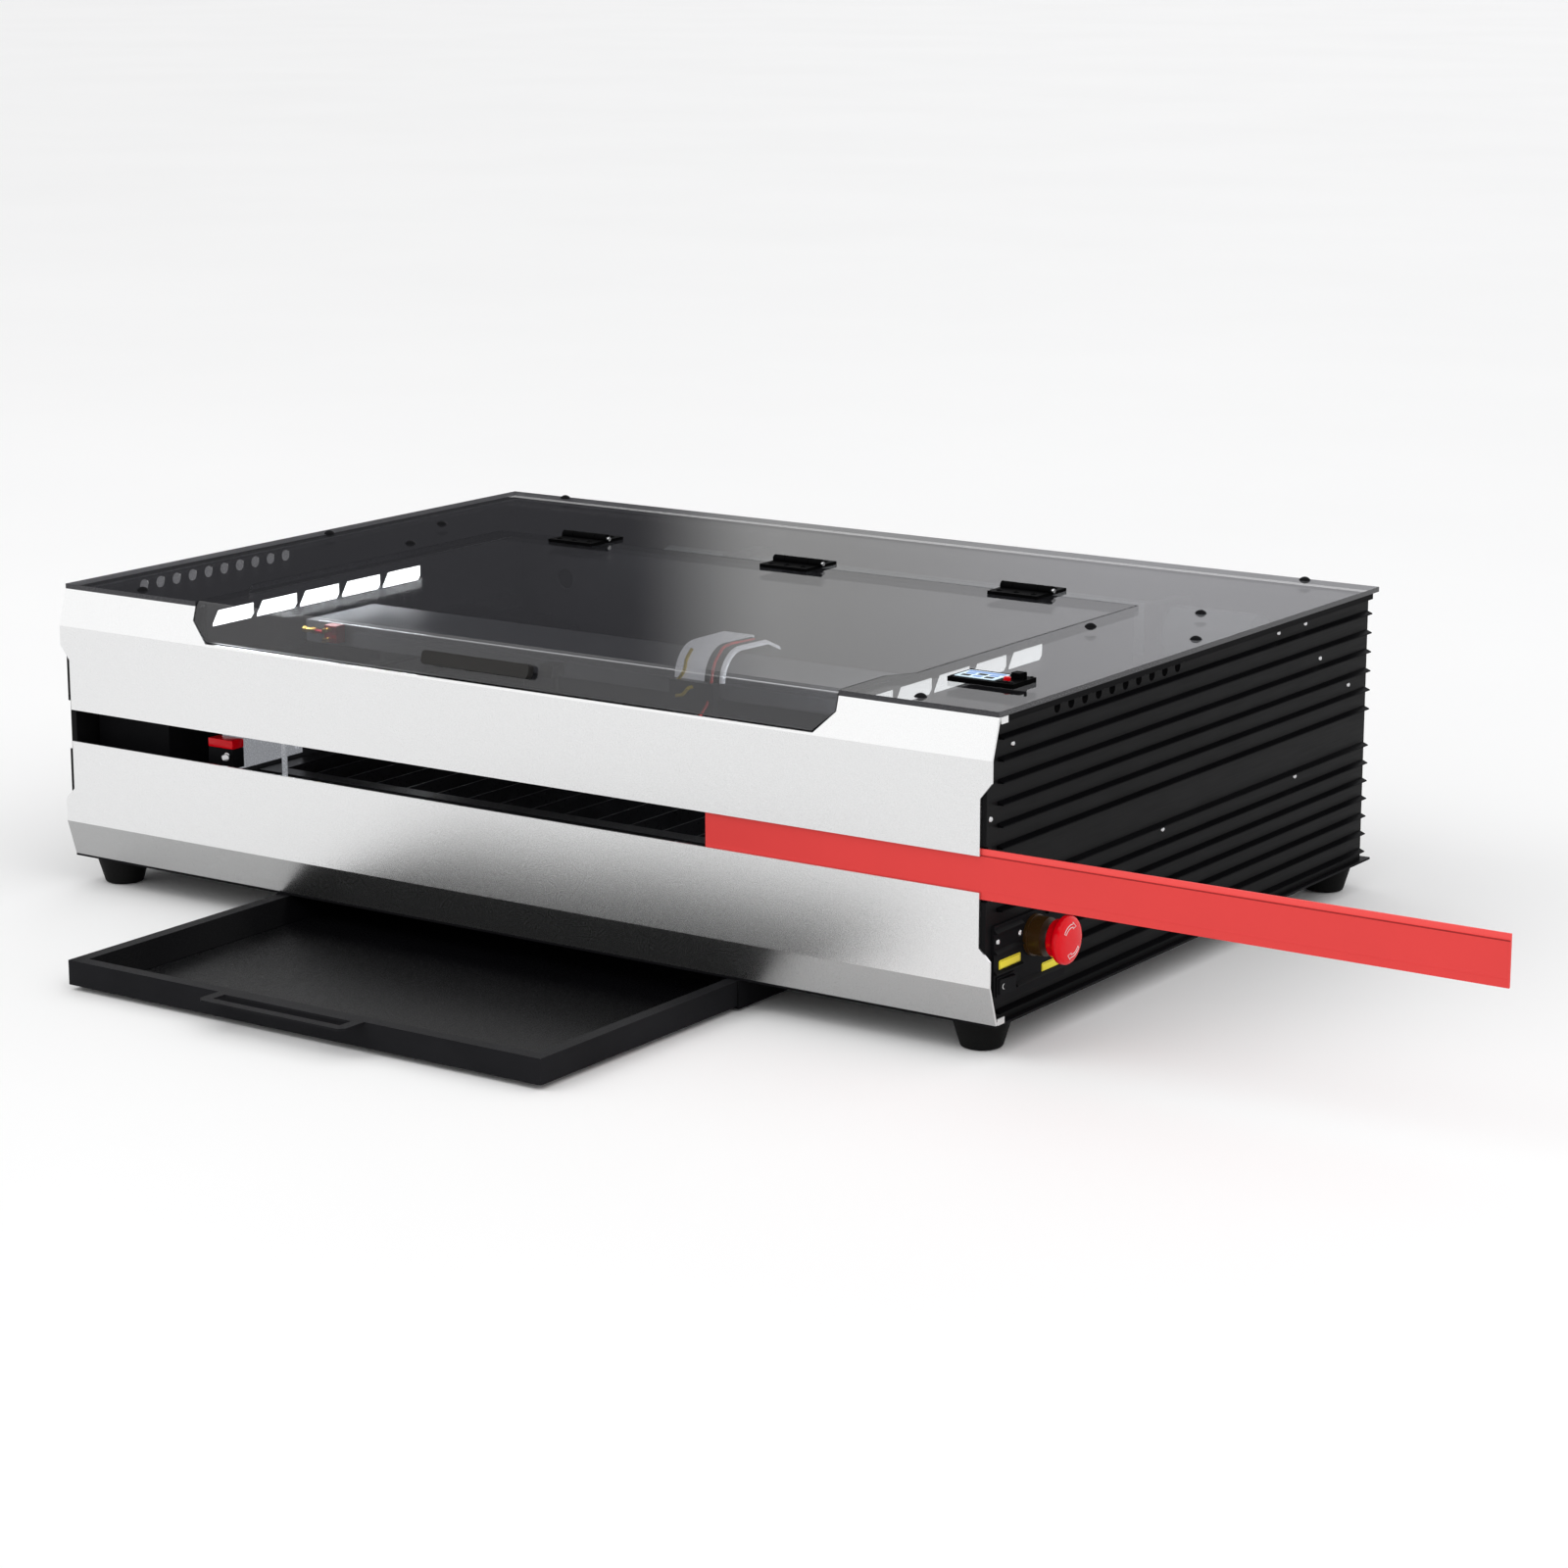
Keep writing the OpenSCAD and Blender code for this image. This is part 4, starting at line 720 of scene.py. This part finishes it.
# a bar and a ring on the rocker's two ends
rocker_lo, rocker_hi = edges_of("rocker_key")
_, ry, rz = middle(rocker_lo, rocker_hi)
BAR_DOWN, BAR_ALONG, BAR_HALF = 0.75, 6, 2.4
RING_DOWN, RING_ALONG, RING_R = 2.3, 5.6, 2.1
MARK_R = 0.3
bm = bmesh.new()
tube(bm, [Vector((rocker_hi[0] - BAR_DOWN, ry + BAR_ALONG, rz + dz))
          for dz in (-BAR_HALF, BAR_HALF)], MARK_R, 6)
ring = [Vector((rocker_hi[0] - RING_DOWN, ry - RING_ALONG + RING_R * math.cos(t),
                rz + RING_R * math.sin(t)))
        for t in [2 * math.pi * i / 20 for i in range(20)]]
tube(bm, ring, MARK_R, 6, 0, True)
finish_piece("rocker_marks", bm, PRINT_WHITE, "rocker")


# ------------------------------------------------------------------ feet

feet_lo, feet_hi = edges_of("feet")
FOOT_R, FOOT_H = 25, feet_hi[2]
WELL_H = FOOT_H - 8
FOOT_PROFILE = [(5, WELL_H), (6.5, WELL_H), (6.5, 0.6), (7.1, 0), (16, 0), (17.1, 0.5),
                (17.8, 1.5), (18.2, 3), (24.2, FOOT_H - 3), (24.7, FOOT_H - 1.4),
                (FOOT_R, FOOT_H)]
bm = bmesh.new()
for x in (feet_lo[0] + FOOT_R, feet_hi[0] - FOOT_R):
    for y in (feet_lo[1] + FOOT_R, feet_hi[1] - FOOT_R):
        lathe(bm, FOOT_PROFILE, (x, y, 0), UP, 56)
        pan_screw(bm, (x, y, WELL_H), DOWN, 5.6, 3.4, 1)
feet = finish_piece("rubber_feet", bm, [RUBBER, STEEL], "chassis", 40)
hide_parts("feet")


# ------------------------------------------------------------------ tray

tray_lo, tray_hi = edges_of("waste_tray")
LIP, SLOPE, FLOOR_SINK = 12, 15, 0.4


def tray_ring(bm, inset, z):
    """The four corners of the tray, drawn in from its edge."""
    x0, x1 = tray_lo[0] + inset, tray_hi[0] - inset
    y0, y1 = tray_lo[1] + inset, tray_hi[1] - inset
    return [bm.verts.new((x, y, z)) for x, y in ((x0, y0), (x1, y0), (x1, y1), (x0, y1))]


# the tray's inner slope and floor, in the darker black of painted shade
bm = bmesh.new()
low_z = tray_lo[2] + 2.2
rim = tray_ring(bm, LIP, tray_hi[2] - 0.6)
foot = tray_ring(bm, LIP + SLOPE, low_z)
bottom = tray_ring(bm, LIP + SLOPE, low_z - FLOOR_SINK)
for a, b in ((rim, foot), (foot, bottom)):
    for i in range(4):
        bm.faces.new((a[i], a[(i + 1) % 4], b[(i + 1) % 4], b[i]))
bm.faces.new(bottom)
finish_piece("tray_liner", bm, TRAY_FLOOR_PAINTED_SHADE, "tray", 20)


# ------------------------------------------------------------------ laser head

laser_lo, laser_hi = edges_of("laser_head")
cover_lo, cover_hi = edges_of("head_cover")
hx = (laser_lo[0] + laser_hi[0]) / 2
front = laser_lo[1]
TUBE_Y = front + 14
MIRROR_Z, AIR_X, AIR_Z = 213, hx - 14, 178
LENS_TOP_Z, LENS_LOW_Z = 196, 160       # the red lens tube lies between these
GRIP_ZS = (168, 172, 176, 180, 184)

# mirror screws, the air fitting and the grip rings of the lens tube
bm = bmesh.new()
for dz in (-5, 5):
    for dx in (-9, 9):
        lathe(bm, [(0, 0), (2.4, 0), (2.4, 3), (1.4, 3.4), (1.4, 6), (2.8, 6.2), (2.8, 8),
                   (2.2, 8.6), (0, 8.6)], (hx + dx, front, MIRROR_Z + dz), FRONT, 16)
lathe(bm, [(0, 0), (4, 0), (4, 5), (2.6, 5.6), (2.6, 9), (3.4, 9.6), (3.4, 12), (1.8, 12.6),
           (1.8, 16), (0, 16)], (AIR_X, TUBE_Y, AIR_Z), (-1, 0, 0.4), 6)
for z in GRIP_ZS:
    lathe(bm, [(11, 0), (11.8, 0.5), (11.8, 1.5), (11, 2)], (hx, TUBE_Y, z), UP, 32, 1)
finish_piece("head_fittings", bm, [BRASS, BRUSHED], "head")

BEND_R = 26.5


def round_cover(x, lift, angle):
    """A point above the curved cover: how far off it, and how far round the bend in degrees."""
    t = math.radians(angle)
    return (x, cover_lo[1] + BEND_R - (BEND_R + lift) * math.cos(t),
            cover_lo[2] + (BEND_R + lift) * math.sin(t))


bm = bmesh.new()
wire_x = cover_hi[0] + 9
red_wire = ([(wire_x - 2, front + 8, MIRROR_Z - 1), (wire_x - 1, cover_lo[1] - 8, 228)]
            + [round_cover(wire_x, 3.2, a) for a in (4, 30, 55, 80)]
            + [(wire_x, cover_lo[1] + BEND_R + 34, cover_lo[2] + BEND_R + 1)])
tube(bm, smooth_path(red_wire), 1.3)
finish_piece("head_wire_red", bm, WIRE_RED, "head")

bm = bmesh.new()
yellow_wires = (
    [round_cover(cover_lo[0] + 10, 1.6, a) for a in (58, 35, 12)]
    + [(cover_lo[0] + 2, cover_lo[1] - 5, cover_lo[2] - 6)],
    [(cover_hi[0] - 4, cover_lo[1] - 4, 239), (cover_hi[0] - 10, cover_lo[1] - 9, 240),
     (cover_hi[0] - 15, cover_lo[1] - 12, 234), (cover_hi[0] - 22, cover_lo[1] - 12, 232)],
)
for wire in yellow_wires:
    tube(bm, smooth_path(wire), 1.5)
finish_piece("head_wire_yellow", bm, WIRE_YELLOW, "head")

# two flat cables and an outer guide that follow the cover's curve
bm = bmesh.new()
for dx, w, index in ((4, 3.8, 0), (12, 3.2, 0), (18, 2.6, 1)):
    x = cover_hi[0] + dx
    path = [Vector(round_cover(x, 0, a)) for a in range(0, 91, 6)]
    crest = path[-1].z
    path += [Vector((x, cover_lo[1] + BEND_R + 40, crest - 1)),
             Vector((x, cover_hi[1] + 12, crest - 9))]
    tube(bm, path, w, 10, index, False, 0.35)
finish_piece("head_cables", bm, [PLASTIC, SHROUD], "head")


def head_face(normal, centre):
    """Dark upper plates, red lens tube and steel nozzle cone."""
    if centre[2] > LENS_TOP_Z:
        return 0
    return 1 if centre[2] > LENS_LOW_Z else 2


dressed("laser_head", "carriage_and_tube", "head",
        [CARRIAGE, ANODISED_RED, STEEL], head_face)


# ------------------------------------------------------------------ beam and inner wall

mount_lo, mount_hi = edges_of("gantry_mirror_mount")
_, mount_y, mount_z = middle(mount_lo, mount_hi)
bm = bmesh.new()
for dz in (-4.5, 4.5):
    lathe(bm, [(0, 0), (2.1, 0), (2.1, 4), (1.2, 4.3), (1.2, 7), (2.5, 7.2), (2.5, 9), (0, 9.4)],
          (mount_hi[0] - 7, mount_lo[1], mount_z + dz), FRONT, 16)
lathe(bm, [(0, 0), (3.4, 0), (3.4, 4), (2.2, 4.5), (2.2, 12), (3, 12.4), (3, 15), (0, 15)],
      (mount_lo[0] + 4, mount_y, mount_z), LEFT, 6)
finish_piece("mirror_screws", bm, BRASS, "gantry")

# glowing strip along the beam's front, a painted highlight
beam_lo, beam_hi = edges_of("gantry_beam")
EDGE_END, EDGE_BACK, EDGE_W, EDGE_T = 14, 8.2, 2.2, 0.3
bm = bmesh.new()
block(bm, (beam_lo[0] + EDGE_END, beam_lo[1] + EDGE_BACK, beam_hi[2]),
      (beam_hi[0] - EDGE_END, beam_lo[1] + EDGE_BACK + EDGE_W, beam_hi[2] + EDGE_T), 0.06)
finish_piece("beam_edge", bm, BEAM_EDGE_PAINTED_HIGHLIGHT, "gantry")

# lit plate on the inner wall behind the end switch, with a screw in each corner
inner_x = edges_of("inner_wall_left")[1][0]
PLATE_Y, PLATE_Z, PLATE_T = (-303, -196), (119, 165), 1
bm = bmesh.new()
block(bm, (inner_x, PLATE_Y[0], PLATE_Z[0]), (inner_x + PLATE_T, PLATE_Y[1], PLATE_Z[1]))
for y in (PLATE_Y[0] + 7, PLATE_Y[1] - 7):
    for z in (PLATE_Z[0] + 6, PLATE_Z[1] - 6):
        pan_screw(bm, (inner_x + PLATE_T, y, z), RIGHT, 2.2, 1.2)
finish_piece("wall_plate", bm, STEEL_LIT, "chassis")

# end switch with its plunger, seen through the slot
SWITCH_X, SWITCH_Y, SWITCH_Z, SWITCH_TOP = (-342.4, -313), (-319, -304), (129, 147), 155
bm = bmesh.new()
for z0, z1, index in ((*SWITCH_Z, 0), (SWITCH_Z[1], SWITCH_TOP, 1)):
    block(bm, (SWITCH_X[0], SWITCH_Y[0], z0), (SWITCH_X[1], SWITCH_Y[1], z1), 0.8, index)
lathe(bm, [(0, 0), (2.6, 0), (2.6, 5), (1.4, 5.4), (1.4, 12), (3.4, 12.2), (3.6, 14), (3, 15),
           (0, 15.2)], (-320, SWITCH_Y[0], 142), (0.6, -0.8, 0), 20, 2)
finish_piece("end_switch", bm, [SHEET, GLOSS_RED, STEEL], "chassis")

# round vents along the top of the left wall, paler against the dark wall, with a faint glow
# painted in as light
left_lo, left_hi = edges_of("left_wall_upper")
VENTS, VENT_PITCH, VENT_R = 10, 22, 4.8
VENT_START, VENT_DROP, VENT_PROUD = 98, 9.1, 0.02
VENT_PROFILE = [(0, -0.6), (VENT_R - 0.9, -0.6), (VENT_R - 0.1, -0.3), (VENT_R + 0.5, 0.02),
                (VENT_R + 0.5, 0.25), (VENT_R - 0.2, 0.25), (VENT_R - 0.7, 0), (0, 0)]
vent_z = edges_of("top_plate")[0][2] - VENT_DROP
bm = bmesh.new()
for k in range(VENTS):
    at = (left_hi[0] + VENT_PROUD, left_lo[1] + VENT_START + k * VENT_PITCH, vent_z)
    lathe(bm, VENT_PROFILE, at, RIGHT, 28)
finish_piece("vent_screens", bm, VENT_PAINTED_GLOW, "chassis")


# ------------------------------------------------------------------ rear, hinges and underside

# rear: panel screws, inlet pins and inlet screws
panel_lo, panel_hi = edges_of("rear_panel")
inlet_lo, inlet_hi = edges_of("power_inlet")
COLUMNS, EDGE_IN = 7, 9
PINS = ((-7, 2), (0, -2.5), (7, 2))
PIN_HALF_W, PIN_HALF_H, PIN_BACK, PIN_TIP = 1, 2.6, 14, 1.5
step = (panel_hi[0] - panel_lo[0] - 2 * EDGE_IN) / (COLUMNS - 1)
spots = [(panel_lo[0] + EDGE_IN + k * step, z)
         for k in range(COLUMNS) for z in (panel_lo[2] + EDGE_IN, panel_hi[2] - EDGE_IN)]
spots += [(x, (panel_lo[2] + panel_hi[2]) / 2)
          for x in (panel_lo[0] + EDGE_IN, panel_hi[0] - EDGE_IN)]
bm = bmesh.new()
for x, z in spots:
    pan_screw(bm, (x, panel_hi[1], z), REAR, 3.2, 2)
inlet_x, _, inlet_z = middle(inlet_lo, inlet_hi)
for dx, dz in PINS:
    x, z = inlet_x + dx, inlet_z + dz
    block(bm, (x - PIN_HALF_W, panel_hi[1] - PIN_BACK, z - PIN_HALF_H),
          (x + PIN_HALF_W, panel_hi[1] - PIN_TIP, z + PIN_HALF_H))
inlet_screw = (inlet_hi[0] - inlet_lo[0] - 7) / 2
for dx in (-inlet_screw, inlet_screw):
    pan_screw(bm, (inlet_x + dx, inlet_hi[1], inlet_z), REAR, 2, 1)
finish_piece("rear_fittings", bm, STEEL, "chassis")

# hinge screws, three to each leaf
fixed_lo, fixed_hi = edges_of("hinge_fixed_leaves")
lid_leaf_lo = edges_of("hinge_lid_leaves")[0]
HINGE_XS, SCREW_XS = (-250, 0, 250), (-18, 0, 18)
LEAF_T, LEAF_IN = 3, 8
for name, body, y in (("hinge_screws_fixed", "chassis", fixed_hi[1] - LEAF_IN),
                      ("hinge_screws_lid", "lid", lid_leaf_lo[1] + LEAF_IN)):
    bm = bmesh.new()
    for x in HINGE_XS:
        for dx in SCREW_XS:
            pan_screw(bm, (x + dx, y, fixed_lo[2] + LEAF_T), UP, 3, 0.9)
    finish_piece(name, bm, HINGE, body)

# underside: screws that hold the base plate
base_lo, base_hi = edges_of("base_plate")
LONG_XS, SHORT_YS = (-400, -240, -80, 80, 240, 400), (-200, -70, 70, 200)
LONG_IN, SHORT_IN = 12, 10
spots = [(x, y) for x in LONG_XS for y in (base_lo[1] + LONG_IN, base_hi[1] - LONG_IN)]
spots += [(x, y) for x in (base_lo[0] + SHORT_IN, base_hi[0] - SHORT_IN) for y in SHORT_YS]
bm = bmesh.new()
for x, y in spots:
    pan_screw(bm, (x, y, base_lo[2]), DOWN, 3.5, 2)
finish_piece("base_screws", bm, STEEL, "chassis")


# ------------------------------------------------------------------ panels, walls, slot cover

LEAN = 0.12             # a facet whose normal rises or falls by more than this leans
FIN_ROOT_X = 494.7      # the fins stand out of the side walls beyond this
FIN_END_Y = 300         # their cut ends that show are behind this


def panel_face(normal, centre):
    """0 on the plain face, 1 on the facet that leans back, painted lighter as painted light, 2 on
    the one that leans under, painted darker as painted shade.
    """
    if abs(normal.z) <= LEAN:
        return 0
    return 1 if normal.z > 0 else 2


def wall_face(normal, centre):
    """0 on the flat wall, 1 on its fins, painted darker as painted shade, 2 on the light cut ends
    of the fins.
    """
    if abs(centre[0]) < FIN_ROOT_X:
        return 0
    return 2 if normal.y > SQUARE and centre[1] > FIN_END_Y else 1


for level in ("upper", "lower"):
    tag = "front_panel_" + level
    dressed(tag, "satin_" + tag, "chassis", [WHITE, WHITE_PAINTED_LIT, WHITE_PAINTED_SHADE],
            panel_face)
for side in ("left", "right"):
    for level in ("upper", "lower"):
        tag = side + "_wall_" + level
        dressed(tag, "finned_" + tag, "chassis", [EXTRUSION, FIN_PAINTED_SHADE, FIN_TIP],
                wall_face)

# slot cover: fold along the top painted lighter as painted light, a dark line under it as painted
# shade in the crease, and a fine one near the bottom
strip_lo, strip_hi = edges_of("slot_cover")
FOLD_H = 5
dressed("slot_cover", "cover_strip", "slot_cover", [COVER_RED, COVER_PAINTED_LIT],
        lambda normal, centre: 1 if centre[2] > strip_hi[2] - FOLD_H else 0)
bm = bmesh.new()
for z, tall, index in ((strip_hi[2] - FOLD_H - 0.5, 1.0, 0), (strip_lo[2] + 6.5, 0.5, 1)):
    block(bm, (strip_lo[0] + 0.4, strip_lo[1] - 0.1, z - tall / 2),
          (strip_hi[0] - 0.4, strip_lo[1] + 0.2, z + tall / 2), 0.04, index)
finish_piece("cover_lines", bm, [COVER_PAINTED_CREASE_SHADE, COVER_RED], "slot_cover")


# ------------------------------------------------------------------ light strips, inside

window_lo, window_hi = edges_of("light_diffusers")
_, y, z = middle(window_lo, window_hi)
STRIP_IN, STRIP_DOWN = 6, 12
STRIP_LONG, STRIP_TALL = 0.29, 0.01
for tag, x, aim, watts in (("strip_left", window_lo[0] + STRIP_IN, 100, 0.12),
                           ("strip_right", window_hi[0] - STRIP_IN, -100, 0.5)):
    area(tag, Vector((x, y, z)) * MM, Vector((x + aim, y, z - STRIP_DOWN)) * MM, STRIP_LONG,
         watts, (0.9, 0.95, 1.0), STRIP_TALL)
